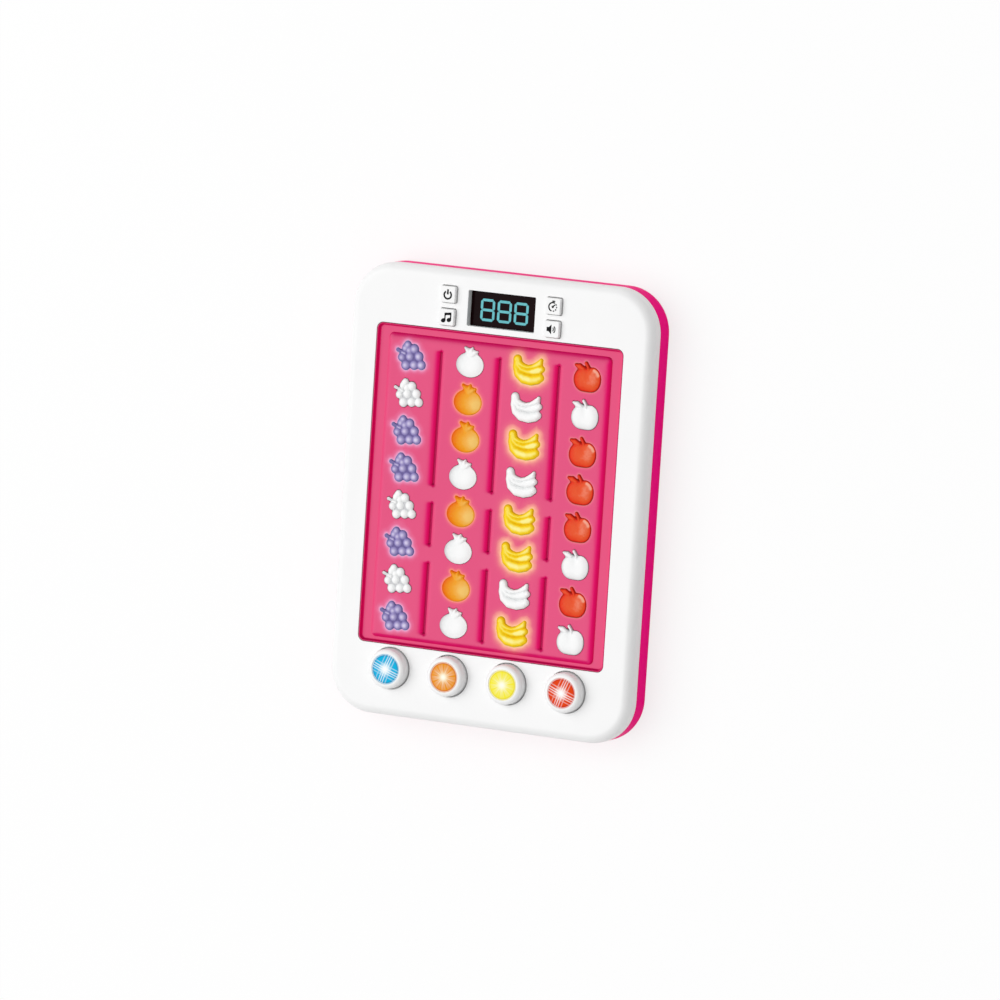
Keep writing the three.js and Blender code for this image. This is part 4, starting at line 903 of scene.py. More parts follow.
def front_case():
    solid = Solid()
    profile = softened([
        (CASE_WALL, ceiling_z), (CASE_WALL, parting_z), (SEAM_CHAMFER, parting_z),
        (0, parting_z + SEAM_CHAMFER), (0, face_z, FRONT_EDGE_ROUND), (FRONT_EDGE_ROUND + EDGE_LAND, face_z),
    ], EDGE_STEPS)
    rings = solid.skin([(case_outline(inset), z) for inset, z in profile])
    cuts = []
    for outline, foot in front_openings():
        cut = softened([(2 * HOLE_EDGE, face_z), (0, face_z, HOLE_EDGE), *foot])
        cuts.append(solid.skin([(outline(grow), z) for grow, z in cut]))
    roots = [solid.boss(screw, parting_z, ceiling_z, FRONT_BOSS_RADIUS, FRONT_BOSS_PILOT_RADIUS,
                        ceiling_z - parting_z) for screw in shell_screws]
    roots += [solid.boss(post, main_board_z, ceiling_z) for post in main_posts]
    roots += [solid.boss(post, lamp_board_z, ceiling_z) for post in play_posts]
    solid.fill(rings[-1], [cut[0] for cut in cuts])
    solid.fill(rings[0], [cut[-1] for cut in cuts] + roots, up=False)
    return solid


def screw_well(solid, screw):
    """A screw's boss and the well through it. Returns its rings from the floor to the back."""
    profile = softened([
        (REAR_BOSS_RADIUS, floor_z), (REAR_BOSS_RADIUS, parting_z), (WELL_HOLE_RADIUS, parting_z),
        (WELL_HOLE_RADIUS, screw_seat_z), (WELL_RADIUS, screw_seat_z), (WELL_RADIUS, back_z, WELL_EDGE),
        (WELL_RADIUS + 2 * WELL_EDGE, back_z),
    ])
    # The last point only steers the round of the well's edge
    return solid.turned(profile[:-1], screw.x, screw.y, SMALL_DISC_STEPS)


def speaker_seat(solid):
    """The speaker's seat over the grille. Returns its ring on the floor and the slots' rings on the back."""
    centre = (speaker_low + speaker_high) / 2
    head = floor_z + SPEAKER_RING_HEIGHT
    around = solid.turned([
        (SPEAKER_RING_OUTER, floor_z), (SPEAKER_RING_OUTER, head), (SPEAKER_RING_INNER, head),
        (SPEAKER_RING_INNER, floor_z),
    ], centre.x, centre.y)
    cut = softened([(0, floor_z), (0, back_z, HOLE_EDGE), (2 * HOLE_EDGE, back_z)])
    slots = []
    for i in range(GRILLE_SLOTS):
        y = (i - (GRILLE_SLOTS - 1) / 2) * GRILLE_PITCH
        half = math.sqrt(GRILLE_RADIUS ** 2 - y ** 2)
        slots.append(solid.skin([
            (round_ended(half + grow, GRILLE_HALF_WIDTH + grow, centre.x, centre.y + y), z)
            for grow, z in cut]))
    solid.fill(around[-1], [slot[0] for slot in slots])
    return around[0], [slot[-1] for slot in slots]


def rear_case():
    solid = Solid()
    tongue = CASE_WALL + TONGUE_GAP
    profile = softened([
        (REAR_EDGE_ROUND + EDGE_LAND, back_z), (0, back_z, REAR_EDGE_ROUND), (0, parting_z - SEAM_CHAMFER),
        (SEAM_CHAMFER, parting_z), (tongue, parting_z), (tongue, parting_z + TONGUE_HEIGHT),
        (tongue + TONGUE_WALL, parting_z + TONGUE_HEIGHT),
        (tongue + TONGUE_WALL, parting_z - TONGUE_HEIGHT), (CASE_WALL, parting_z - TONGUE_HEIGHT),
        (CASE_WALL, floor_z),
    ], EDGE_STEPS)
    # The first point only steers the round of the back edge
    rings = solid.skin([(case_outline(inset), z) for inset, z in profile[1:]])
    wells = [screw_well(solid, screw) for screw in shell_screws]
    seat, slots = speaker_seat(solid)
    solid.fill(rings[-1], [*[well[0] for well in wells], seat])
    solid.fill(rings[0], [*[well[-1] for well in wells], *slots], up=False)
    return solid


def port_cutter():
    """The charging port's shape, through the lower wall, wider at its mouth."""
    half_x = socket_high.x + PORT_CLEARANCE
    half_z = (socket_high.z - socket_low.z) / 2 + PORT_CLEARANCE
    solid = Solid()
    stations = [(0, -CASE_WALL - PORT_OVERRUN), (0, -PORT_FLARE), (2 * PORT_FLARE, PORT_FLARE)]
    rings = solid.skin([(round_ended(half_x + grow, half_z + grow, steps=EDGE_STEPS), z)
                        for grow, z in stations])
    solid.fill(rings[0], up=False)
    solid.fill(rings[-1])
    height = (socket_high.z + socket_low.z) / 2
    solid.corners = [(x, -z - case_y, y + height) for x, y, z in solid.corners]
    return solid


def cut_port(piece):
    cutter = shown("port_cutter", port_cutter().mesh("port_cutter"))
    cut = piece.modifiers.new("Port", "BOOLEAN")
    cut.operation = "DIFFERENCE"
    cut.solver = "EXACT"
    cut.object = cutter
    piece.modifiers.move(piece.modifiers.find("Normals"), len(piece.modifiers) - 1)
    carved = bpy.data.meshes.new_from_object(piece.evaluated_get(bpy.context.evaluated_depsgraph_get()))
    piece.modifiers.remove(cut)
    bpy.data.objects.remove(cutter)
    piece.data = carved
    carved.shade_smooth()
    carved.set_sharp_from_angle(angle=math.radians(CREASE_ANGLE))


place(front_case(), "front_case", "shell_white", ["front_shell"])
cut_port(place(rear_case(), "rear_case", "case_magenta", ["rear_shell"]))


# Fruit shapes: each lobe gives the distance to its edge, less than zero inside

def disc(cx, cy, radius):
    return lambda x, y: np.hypot(x - cx, y - cy) - radius


def oval(cx, cy, rx, ry):
    def distance(x, y):
        dx, dy = x - cx, y - cy
        share = np.hypot(dx / rx, dy / ry)
        steep = np.hypot(dx / rx ** 2, dy / ry ** 2) + 1e-9
        return np.where(share > 1e-6, share * (share - 1) / steep, -min(rx, ry))
    return distance


def limb(*joints):
    """A limb through (x, y, radius) joints."""
    def distance(x, y):
        nearest = np.full(np.shape(x), FAR)
        for (ax, ay, ar), (bx, by, br) in zip(joints, joints[1:]):
            dx, dy = bx - ax, by - ay
            t = np.clip(((x - ax) * dx + (y - ay) * dy) / (dx * dx + dy * dy), 0, 1)
            nearest = np.minimum(nearest, np.hypot(x - ax - t * dx, y - ay - t * dy) - ar - t * (br - ar))
        return nearest
    return distance


def merged(first, second, blend):
    """Smaller of two distances, with a soft change between them."""
    share = np.clip(0.5 + 0.5 * (second - first) / blend, 0, 1)
    return second + (first - second) * share - blend * share * (1 - share)


def blob(*lobes, blend=1.2):
    """Several lobes that flow into one."""
    def distance(x, y):
        whole = lobes[0](x, y)
        for lobe in lobes[1:]:
            whole = merged(whole, lobe(x, y), blend)
        return whole
    return distance


# Each fruit is a list of (lobe, reach of its slope, share of the full rise)
FRUITS = {
    "grape": [
        (disc(1.45, 3.2, 1.9), 1.9, 1.0), (disc(3.7, 0.3, 1.9), 1.9, 1.0),
        (disc(5.0, -3.1, 1.85), 1.85, 0.95), (disc(-0.4, -0.1, 1.9), 1.9, 1.05),
        (disc(1.7, -3.35, 1.9), 1.9, 1.0), (disc(-2.05, -3.75, 1.95), 1.95, 0.95),
        (disc(-4.0, -0.7, 1.7), 1.7, 0.9), (disc(-0.8, 2.4, 1.6), 1.6, 0.8),
        (blob(disc(-1.6, 4.7, 1.5), disc(-2.6, 3.1, 1.5)), 1.3, 0.85),
        (limb((-6.0, 2.2, 0.75), (-4.8, 1.7, 0.6), (-2.5, 1.0, 0.7)), 0.6, 0.85),
    ],
    "orange": [
        (oval(0.35, -0.6, 6.2, 5.1), 4.2, 1.0),
        (limb((0.5, 3.7, 1.7), (-0.8, 5.1, 1.15), (-2.1, 6.2, 0.55)), 1.0, 0.9),
        (limb((0.7, 3.7, 1.7), (0.8, 5.1, 1.1), (1.1, 6.2, 0.55)), 1.0, 0.95),
        (limb((0.9, 3.6, 1.7), (2.3, 4.4, 1.1), (3.4, 4.9, 0.5)), 1.0, 0.9),
    ],
    "banana": [
        (limb((-5.0, 4.0, 1.65), (-4.0, 2.4, 1.2), (-2.0, 1.5, 0.95), (0.0, 1.2, 0.85), (2.0, 1.65, 0.9),
              (3.8, 2.5, 1.15), (5.1, 3.4, 1.25), (5.6, 4.5, 0.8)), 1.0, 0.95),
        (limb((-5.0, 4.0, 1.5), (-4.6, 1.6, 1.3), (-2.9, 0.1, 1.15), (0.0, -0.6, 1.1), (2.8, -0.3, 1.4),
              (4.9, 0.45, 1.6), (6.1, 1.0, 1.25)), 1.25, 1.0),
        (limb((-5.1, 4.0, 1.5), (-5.5, 0.9, 1.4), (-4.4, -1.8, 1.75), (-1.9, -3.6, 1.95), (1.4, -4.0, 1.95),
              (4.2, -3.3, 1.9), (5.7, -2.6, 1.5)), 1.8, 1.05),
    ],
    "apple": [
        (blob(oval(-2.2, -1.0, 3.9, 4.6), oval(2.15, -0.8, 3.8, 4.85), oval(0.1, -2.2, 4.2, 3.4), blend=1.7),
         3.4, 1.0),
        (limb((0.6, 2.9, 0.55), (0.1, 4.2, 0.65), (-0.9, 5.6, 0.7)), 0.6, 0.9),
        (limb((-1.9, 3.2, 0.9), (-3.7, 4.0, 1.25), (-5.4, 4.6, 0.6)), 1.0, 0.85),
    ],
}

# Painted highlights on each fruit: place, how far the light spreads round it, and its gain
GLINTS = {
    "grape": [],
    "orange": [(disc(4.2, -1.6, 0.6), 1.6, 0.15)],
    "banana": [(limb((2.2, -0.1, 0.1), (4.6, 0.5, 0.3)), 0.8, 0.3),
               (limb((-2.4, -2.6, 0.1), (0.6, -3.3, 0.2)), 0.8, 0.25)],
    "apple": [(limb((3.0, 3.2, 0), (4.3, 2.4, 0), (5.0, 1.2, 0)), 0.6, 0.6)],
}


def fruit_edge(kind, x, y):
    """Distance to the fruit's edge, less than zero inside."""
    return blob(*[lobe for lobe, _, _ in FRUITS[kind]], blend=FRUIT_BLEND)(x, y)


def domed(slope):
    """Height of a soft dome by the share of the way from its foot to its top."""
    return 1 - (1 - slope) ** DOME_POWER


def fruit_relief(kind, x, y):
    """Height of a fruit's relief as a share of the full rise, and how far up its own dome a point is."""
    height = np.zeros(np.shape(x))
    climb = np.zeros(np.shape(x))
    for lobe, reach, share in FRUITS[kind]:
        slope = np.clip(-lobe(x, y) / reach, 0, 1)
        rise = share * domed(slope)
        climb = np.where(rise > height, slope, climb)
        height = -merged(-height, -rise, DOME_BLEND)
    foot = EDGE_SHARE * domed(np.clip(-fruit_edge(kind, x, y) / EDGE_REACH, 0, 1))
    return np.maximum(height, foot), climb


# Sides by which an outline enters and leaves a cell, in pairs, by which of its corners lie inside
MARCH = {1: "03", 2: "10", 3: "13", 4: "21", 5: "0321", 6: "20", 7: "23", 8: "32", 9: "02", 10: "1032",
         11: "12", 12: "31", 13: "01", 14: "30"}


def contour(kind, level, pitch=FRUIT_OUTLINE_PITCH):
    """The longest outline of a fruit at that distance from its edge, at an even pitch."""
    is_far = level >= FAR_LEVEL
    reach = FRUIT_GRID_REACH + (FAR_GRID_MARGIN if is_far else 0)
    line = np.arange(-reach, reach, FRUIT_GRID_PITCH * (FAR_GRID_STRIDE if is_far else 1))
    x, y = np.meshgrid(line, line, indexing="ij")
    value = fruit_edge(kind, x, y) - level
    inside = (value < 0).astype(int)
    kinds = inside[:-1, :-1] + 2 * inside[1:, :-1] + 4 * inside[1:, 1:] + 8 * inside[:-1, 1:]
    following = {}
    for i, j in zip(*np.nonzero((kinds > 0) & (kinds < 15))):
        edges = ((i, j, 0), (i + 1, j, 1), (i, j + 1, 0), (i, j, 1))
        pairs = MARCH[kinds[i, j]]
        for k in range(0, len(pairs), 2):
            following[edges[int(pairs[k])]] = edges[int(pairs[k + 1])]
    loops = []
    while following:
        loop, edge = [], next(iter(following))
        while edge in following:
            loop.append(edge)
            edge = following.pop(edge)
        loops.append(loop)
    points = []
    for i, j, upright in max(loops, key=len):
        k, m = (i, j + 1) if upright else (i + 1, j)
        t = value[i, j] / (value[i, j] - value[k, m])
        points.append((line[i] + t * (line[k] - line[i]), line[j] + t * (line[m] - line[j])))
    return evenly_spaced(np.array(points), pitch)


def fruit_solid(kind):
    """One window that stands on its strip, and how pale the tint is at each corner, which carries its
    painted shading.
    """
    solid = Solid()
    edge = contour(kind, 0)
    lift_z = field_z + FRUIT_EDGE_LIFT

    def height(outline):
        return lift_z + FRUIT_RISE * fruit_relief(kind, outline[:, 0], outline[:, 1])[0]

    rings = solid.skin([(edge, panel_under_z - HAIRLINE), (edge, lift_z)])
    spots = []
    for level in FRUIT_INNER_LEVELS:
        spots += solid.ring(contour(kind, level), height)
    grid = hex_grid(FRUIT_GRID_REACH, FRUIT_GRID_REACH, FRUIT_POINT_PITCH)
    deep = [encloses(edge, *point) and np.hypot(*(edge - point).T).min() > FRUIT_RIM for point in grid]
    spots += solid.ring(grid[deep], height)
    solid.fill(rings[0], up=False)
    solid.fill(rings[1], spots=spots)
    return solid, fruit_tones(kind, solid)


def fruit_tones(kind, solid):
    """How pale the tint is at each corner: painted shade at the foot of each dome and towards the edge,
    painted highlights up the domes and at the glints, and painted light from the side along x and y.
    """
    x, y, _ = np.array(solid.corners).T
    base, gain, right, top = TONES[kind]
    tones = base + gain * fruit_relief(kind, x, y)[1] ** TONE_POWERS[kind]
    tones += (right * x + top * y) / FRUIT_REACH
    tones -= EDGE_SHADE_TONES[kind] * np.exp(fruit_edge(kind, x, y) / EDGE_SHADE_REACH)
    for spot, reach, shine in GLINTS[kind]:
        tones += shine * np.exp(-(np.maximum(spot(x, y), 0) / reach) ** 2)
    return list(tones)


def window_strips(kind):
    """The lit windows of one column, and its unlit windows with the strip that carries them all."""
    fruit, tones = fruit_solid(kind)
    lit, unlit = Solid(), Solid()
    for solid, mark in ((lit, "L"), (unlit, "W")):
        for spot in window_spots(kind, mark):
            solid.add(fruit, *spot)
    lit_tones = tones * len(window_spots(kind, "L"))
    unlit_tones = tones * len(window_spots(kind, "W"))
    outline = rounded_rect(STRIP_HALF_WIDTH, field_half_y - BOARD_END_GAP, STRIP_CORNER_RADIUS,
                           columns[kind], field_y, SMALL_CORNER_STEPS)
    unlit.prism(outline, panel_under_z - STRIP_THICKNESS, panel_under_z - 2 * HAIRLINE)
    unlit_tones += [STRIP_TONE] * (len(unlit.corners) - len(unlit_tones))
    place(lit, f"{kind}_windows_lit", f"window_{kind}", tone=lit_tones)
    place(unlit, f"{kind}_windows_unlit", "window_white", [f"{kind}_lens_strip"], tone=unlit_tones)


for kind in LIT_ROWS:
    window_strips(kind)


# Panel

def past_ends(y, low, high, inset):
    """How far each place lies past a groove's ends, both drawn in by the inset."""
    return np.maximum(np.abs(y - (low + high) / 2) - (high - low) / 2 + inset, 0)


def groove_distance(points):
    """Distance from the nearest groove's edge."""
    nearest = np.full(len(points), FAR)
    half_width = GROOVE_FLOOR_HALF_WIDTH + GROOVE_EDGE
    for lane, low, high in grooves:
        dx, dy = np.abs(points[:, 0] - lane), past_ends(points[:, 1], low, high, half_width)
        nearest = np.minimum(nearest, np.hypot(dx, dy) - half_width)
    return nearest


def shoulder_gap(points):
    """Distance from the nearest groove or field edge."""
    x, y = points[:, 0], points[:, 1] - field_y
    edge = np.minimum(field_half_x - np.abs(x), field_half_y - np.abs(y))
    return np.minimum(edge, groove_distance(points))


def column_distance(points, kind, mark):
    """Distance from the edge of the nearest window of a column that bears the mark."""
    nearest = np.full(len(points), FAR)
    for spot in window_spots(kind, mark):
        near = (np.abs(points - spot) < WINDOW_SEARCH_REACH).all(axis=1)
        nearest[near] = np.minimum(nearest[near], fruit_edge(kind, *(points[near] - spot).T))
    return nearest


def shoulder(share, soft):
    """How far a shoulder has dropped, as a share of its wall, by the share of its reach from the foot."""
    return np.clip(1 - share, 0, 1) ** (SHARP_POWER + (SOFT_POWER - SHARP_POWER) * soft)


def field_height(outline):
    """The field falls softly to the right and to the top of each lane, and sharply on the other sides."""
    x, y = outline.T
    drop = np.zeros(len(outline))
    for lane, low, high in grooves:
        soft = np.clip((lane + GROOVE_FLOOR_HALF_WIDTH - x) / (2 * GROOVE_FLOOR_HALF_WIDTH), 0, 1)
        across = np.maximum(np.abs(x - lane) - GROOVE_FLOOR_HALF_WIDTH, 0)
        across /= SHARP_REACH + (SOFT_REACH - SHARP_REACH) * soft
        along = past_ends(y, low, high, GROOVE_END_REACH) / GROOVE_END_REACH
        drop = np.maximum(drop, GROOVE_DEPTH * shoulder(np.hypot(across, along), soft))
    sides = ((field_half_x - x, 1), (field_half_x + x, 0), (field_half_y - y + field_y, 1),
             (field_half_y + y - field_y, 0))
    for inside, soft in sides:
        share = (inside + FIELD_DRAFT) / (SOFT_REACH if soft else SHARP_REACH)
        drop = np.maximum(drop, (field_z - channel_z) * shoulder(share, soft))
    return field_z - drop


def field_outline(grow):
    corners = rounded_rect(field_half_x + grow, field_half_y + grow, FIELD_CORNER_RADIUS + grow, 0, field_y)
    return evenly_spaced(corners, count=FIELD_EDGE_POINTS)


def tray_outline(inset):
    return rounded_rect(tray_x - inset, tray_y - inset, PANEL_CORNER_RADIUS - inset, 0, panel_y)


def plate_outline():
    """The panel's lip, cut back where the play buttons' flanges stand."""
    points = [tuple(point) for point in tray_outline(-PANEL_LIP)]
    below = len(points) * 3 // 4
    edge_y = panel_y - tray_y - PANEL_LIP
    arcs = []
    for spot in play_spots.values():
        half = math.acos((edge_y - spot.y) / SCALLOP_RADIUS)
        arcs += [(spot.x + SCALLOP_RADIUS * math.sin(angle), spot.y + SCALLOP_RADIUS * math.cos(angle))
                 for angle in np.linspace(-half, half, SCALLOP_STEPS)]
    return np.array(points[:below] + arcs + points[below:])


def groove_outline(lane, low, high, grow):
    half = (high - low) / 2 - GROOVE_EDGE + grow
    return round_ended(GROOVE_FLOOR_HALF_WIDTH + grow, half, lane, (high + low) / 2)


def clear_of(points, window_gap, lit_gap, edge_gap):
    """The points that lie farther than this from every window, lit window, and groove or field edge."""
    lit = np.min([column_distance(points, kind, "L") for kind in LIT_ROWS], axis=0)
    unlit = np.min([column_distance(points, kind, "W") for kind in LIT_ROWS], axis=0)
    clear = (np.minimum(lit, unlit) > window_gap) & (lit > lit_gap)
    return points[clear & (shoulder_gap(points) > edge_gap)]


def field_spots():
    """Spare corners on the field: rings round the lit windows, a grid, and rings along the shoulders."""
    halos = []
    start, slope = HALO_PITCH_SHARES
    for kind in LIT_ROWS:
        for level in HALO_LEVELS:
            outline = contour(kind, level, FRUIT_OUTLINE_PITCH * (start + slope * level))
            halos += [np.column_stack([outline + spot, np.full(len(outline), level)])
                      for spot in window_spots(kind, "L")]
    halos = np.vstack(halos)
    grid = hex_grid(field_half_x, field_half_y, FIELD_PITCH, 0, field_y)
    edges = [evenly_spaced(rounded_rect(field_half_x - inset, field_half_y - inset, FIELD_CORNER_RADIUS,
                                        0, field_y), SHOULDER_PITCH) for inset in SHOULDER_STEPS]
    edges += [evenly_spaced(groove_outline(*groove, GROOVE_EDGE + grow), SHOULDER_PITCH)
              for groove in grooves for grow in SHOULDER_STEPS]
    return np.vstack([
        clear_of(halos[:, :2], halos[:, 2] - HALO_SLACK, 0, SPOT_EDGE_GAP),
        clear_of(grid, FIELD_WINDOW_GAP, HALO_LEVELS[-1] + FIELD_RING_GAP,
                 SHOULDER_STEPS[-1] + FIELD_RING_GAP),
        clear_of(np.vstack(edges), SHOULDER_WINDOW_GAP, HALO_LEVELS[-1], SPOT_EDGE_GAP),
    ])


def carve_groove(solid, lane, low, high):
    """A groove with a soft shoulder on its left. Returns the ring at its edge."""
    steps = [GROOVE_EDGE * (1 - k / RAMP_STEPS) for k in range(RAMP_STEPS + 1)]
    rings = solid.skin([(groove_outline(lane, low, high, grow), field_height) for grow in steps])
    solid.fill(rings[-1])
    return rings[0]


def fruit_panel():
    solid = Solid()
    plate = plate_outline()
    plate_rings = solid.skin([(plate, panel_under_z), (plate, ceiling_z)])
    rim_foot = RIM_LAND + RIM_DRAFT
    rim = softened([
        (0, ceiling_z), (0, rim_z, RIM_ROUND), (RIM_LAND, rim_z, RIM_ROUND),
        (rim_foot, channel_z, RIM_FOOT_ROUND), (rim_foot + CHANNEL_RING_INSET, channel_z),
    ])
    tray = solid.skin([(tray_outline(inset), z) for inset, z in rim])
    solid.fill(plate_rings[1], [tray[0]])
    feet = [(FIELD_DRAFT + CHANNEL_RING_INSET, channel_z), (FIELD_DRAFT, channel_z)]
    feet += [(FIELD_DRAFT * (1 - k / RAMP_STEPS), field_height) for k in range(1, RAMP_STEPS + 1)]
    field = solid.skin([(field_outline(grow), z) for grow, z in feet])
    solid.fill(tray[-1], [field[0]])
    unders = [solid.boss(post, lamp_board_z, panel_under_z) for post in lamp_posts]
    holes = [carve_groove(solid, *groove) for groove in grooves]
    for kind in LIT_ROWS:
        outline = contour(kind, FRUIT_GAP + FRUIT_HOLE_EDGE)
        inner = shifted(outline, -FRUIT_HOLE_EDGE)
        for spot in window_spots(kind):
            rings = solid.skin([
                (outline + spot, field_height),
                (inner + spot, lambda points: field_height(points) - FRUIT_HOLE_EDGE),
                (inner + spot, panel_under_z),
            ])
            holes.append(rings[0])
            unders.append(rings[-1])
    solid.fill(field[-1], holes, solid.ring(field_spots(), field_height))
    solid.fill(plate_rings[0], unders, up=False)
    return solid


def crease_values(corners):
    """Painted shade in the grooves: one on the floor of each groove and zero at its edge."""
    inside = -groove_distance(corners[:, :2]) / GROOVE_EDGE
    inside[corners[:, 2] < channel_z - UNDERSIDE_DEPTH] = 0
    return np.clip(GROOVE_SHADE_STEEPNESS * inside - (GROOVE_SHADE_STEEPNESS - 1), 0, 1)


def glow_values(corners):
    """Painted glow from the lit windows on the panel, as a colour for each corner."""
    glow = np.zeros((len(corners), 4))
    glow[:, 3] = 1
    for kind in LIT_ROWS:
        gap = np.clip(column_distance(corners[:, :2], kind, "L"), 0, GLOW_END)
        share = np.exp(-(gap / GLOW_REACHES[kind]) ** GLOW_FALL)
        glow[:, :3] += share[:, None] * np.array(GLOW_COLOURS[kind])
    glow[corners[:, 2] < channel_z - UNDERSIDE_DEPTH, :3] *= UNDERSIDE_GLOW
    return glow


panel = fruit_panel()
panel_corners = np.array(panel.corners)
# The panel carries its painted glow and the painted shade of its grooves as values at its corners
place(panel, "play_panel", "panel_pink", ["fruit_panel"], glow=glow_values(panel_corners),
      crease=crease_values(panel_corners))


# Buttons

def play_cap(spot):
    wall = PLAY_RADIUS - PLAY_WALL
    mouth = LENS_RADIUS + LENS_CLEARANCE
    return turned_solid([
        (wall, flange_under_z), (PLAY_FLANGE_RADIUS, flange_under_z), (PLAY_FLANGE_RADIUS, flange_top_z),
        (PLAY_RADIUS, flange_top_z), (PLAY_RADIUS, cap_top_z, PLAY_EDGE_ROUND),
        (mouth, cap_top_z, CAP_MOUTH_ROUND), (mouth, cap_ledge_z), (wall, cap_ledge_z),
    ], spot, closed=True, fillets=EDGE_STEPS)


def play_lens(spot):
    rim = cap_top_z - LENS_SINK
    under = cap_ledge_z - LENS_FLANGE
    flange = LENS_RADIUS + LENS_SHOULDER
    shares = [1 - k / CROWN_STEPS for k in range(1, CROWN_STEPS + 1)]
    return turned_solid([
        (0, under), (flange, under), (flange, cap_ledge_z), (LENS_RADIUS, cap_ledge_z),
        (LENS_RADIUS, rim, LENS_RIM_ROUND),
        *[(LENS_RADIUS * share, rim + LENS_CROWN * (1 - share ** 2)) for share in shares],
    ], spot)


def play_dome(spot):
    (foot_in, foot_out), (head_in, head_out) = PLAY_DOME_FOOT, PLAY_DOME_HEAD
    collar, head = lamp_board_z + PLAY_DOME_COLLAR, flange_under_z - MOVING_GAP
    return turned_solid([
        (foot_in, lamp_board_z), (foot_out, lamp_board_z), (foot_out, collar, DOME_ROUND),
        (head_out, head, DOME_ROUND), (head_in, head, DOME_ROUND), (foot_in, collar, DOME_ROUND),
    ], spot, closed=True)


for colour, spot in play_spots.items():
    body = f"play_button_{colour}"
    place(play_cap(spot), f"cap_{colour}", "shell_white", [f"play_cap_{colour}"], body)
    place(play_lens(spot), f"lens_{colour}", f"lens_{colour}", [f"play_lens_{colour}"], body)
    dome = place(play_dome(spot), f"dome_{colour}", "silicone", [f"play_dome_{colour}"])
    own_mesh(dome)


# Keys

def key_cap(spot, foot):
    solid = Solid()
    stations = [(KEY_STEM_RADIUS, foot), (KEY_STEM_RADIUS, flange_under_z)]
    stem = solid.turned(stations, spot.x, spot.y, SMALL_DISC_STEPS)
    solid.fill(stem[0], up=False)

    def outline(half, radius):
        return rounded_rect(half, half, radius, spot.x, spot.y, SMALL_CORNER_STEPS)

    flange = outline(KEY_FLANGE_HALF, KEY_FLANGE_CORNER_RADIUS)
    cap = softened([(0, flange_top_z), (0, key_top_z, KEY_EDGE_ROUND), (2 * KEY_EDGE_ROUND, key_top_z)],
                   EDGE_STEPS)
    rings = solid.skin([
        (flange, flange_under_z), (flange, flange_top_z),
        *[(outline(KEY_HALF - inset, KEY_CORNER_RADIUS - inset * KEY_CORNER_TAPER), z) for inset, z in cap],
    ])
    solid.fill(rings[0], [stem[1]], up=False)
    solid.fill(rings[-1])
    return solid


def key_dome(spot):
    (foot_in, foot_out), (head_in, head_out) = KEY_DOME_FOOT, KEY_DOME_HEAD
    foot, head = main_board_z, main_board_z + KEY_DOME_HEIGHT
    collar = foot + KEY_DOME_COLLAR
    return turned_solid([
        (0, head - KEY_DOME_CAP), (head_in, head - KEY_DOME_CAP, KEY_DOME_ROUND),
        (foot_in, collar, KEY_DOME_ROUND), (foot_in, foot), (foot_out, foot),
        (foot_out, collar, KEY_DOME_ROUND), (head_out, head - KEY_DOME_COLLAR, DOME_ROUND),
        (head_out, head, KEY_DOME_ROUND), (0, head),
    ], spot, SMALL_DISC_STEPS)


def band(points, width):
    """Outline of a line of even width through the points."""
    line = np.array(points, float)
    along = np.gradient(line, axis=0)
    along /= np.hypot(*along.T)[:, None]
    side = np.column_stack([along[:, 1], -along[:, 0]]) * width / 2
    return np.vstack([line + side, (line - side)[::-1]])


def arc(cx, cy, radius, start, end, steps=18):
    angles = np.radians(np.linspace(start, end, steps))
    return np.column_stack([cx + radius * np.cos(angles), cy + radius * np.sin(angles)])


def tilted_oval(cx, cy, rx, ry, tilt, steps=24):
    turn = math.radians(tilt)
    ring = circle(1, steps=steps) * (rx, ry)
    return ring @ np.array([[math.cos(turn), math.sin(turn)], [-math.sin(turn), math.cos(turn)]]) + (cx, cy)


# Outlines that make up each key's symbol
SYMBOLS = {
    "power": [band(arc(0, -0.2, 1.6, 125, 415), 0.72), band([(0, 0.0), (0, 1.2), (0, 2.1)], 0.72)],
    "music": [tilted_oval(-1.3, -1.4, 1.05, 0.85, 20), tilted_oval(1.25, -1.0, 1.05, 0.85, 20),
              band([(-0.6, -1.4), (-0.6, 0.2), (-0.6, 1.5)], 0.55),
              band([(1.95, -0.95), (1.95, 0.6), (1.95, 1.9)], 0.55),
              np.array([(-0.86, 0.75), (2.21, 1.1), (2.21, 2.15), (-0.86, 1.8)])],
    "timer": [band(arc(0, -0.2, 1.75, 80, 255), 0.55),
              *[band(arc(0, -0.2, 1.75, start, start + 20, 5), 0.5) for start in range(-85, 60, 36)],
              band([(0, -0.2), (0.45, 0.25), (0.95, 0.7)], 0.5), circle(0.5, 0, -0.2, 16),
              band([(-0.3, 2.1), (0.35, 2.15), (1.0, 2.05)], 0.5)],
    "volume": [np.array([(-2.1, -0.85), (-1.2, -0.85), (0.0, -1.95), (0.0, 1.95), (-1.2, 0.85),
                         (-2.1, 0.85)]),
               band(arc(-0.2, 0, 1.1, -42, 42), 0.42), band(arc(-0.2, 0, 1.85, -45, 45), 0.42)],
}

for name, spot in key_spots.items():
    low, high = node_box(f"key_{name}")
    body = f"{name}_key"
    place(key_cap(spot, low.z), f"{name}_button", "shell_white", [f"key_{name}"], body)
    symbol = Solid()
    for outline in SYMBOLS[name]:
        symbol.prism(outline + (spot.x, spot.y), high.z - PRINT_ROOT, high.z + PRINT_THICKNESS)
    place(symbol, f"{name}_symbol", "print_black", body=body)
    dome = place(key_dome(spot), f"dome_{name}", "silicone", [f"key_dome_{name}"])
    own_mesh(dome)


# Display

def segment(x, y, length, upright):
    """One bar of a digit with pointed ends."""
    half, tip = length / 2, SEGMENT_WIDTH / 2
    points = [(half, 0), (half - tip, tip), (tip - half, tip)]
    points += [(-u, -v) for u, v in points]
    return np.array([(x - v, y + u) if upright else (x + u, y + v) for u, v in points])


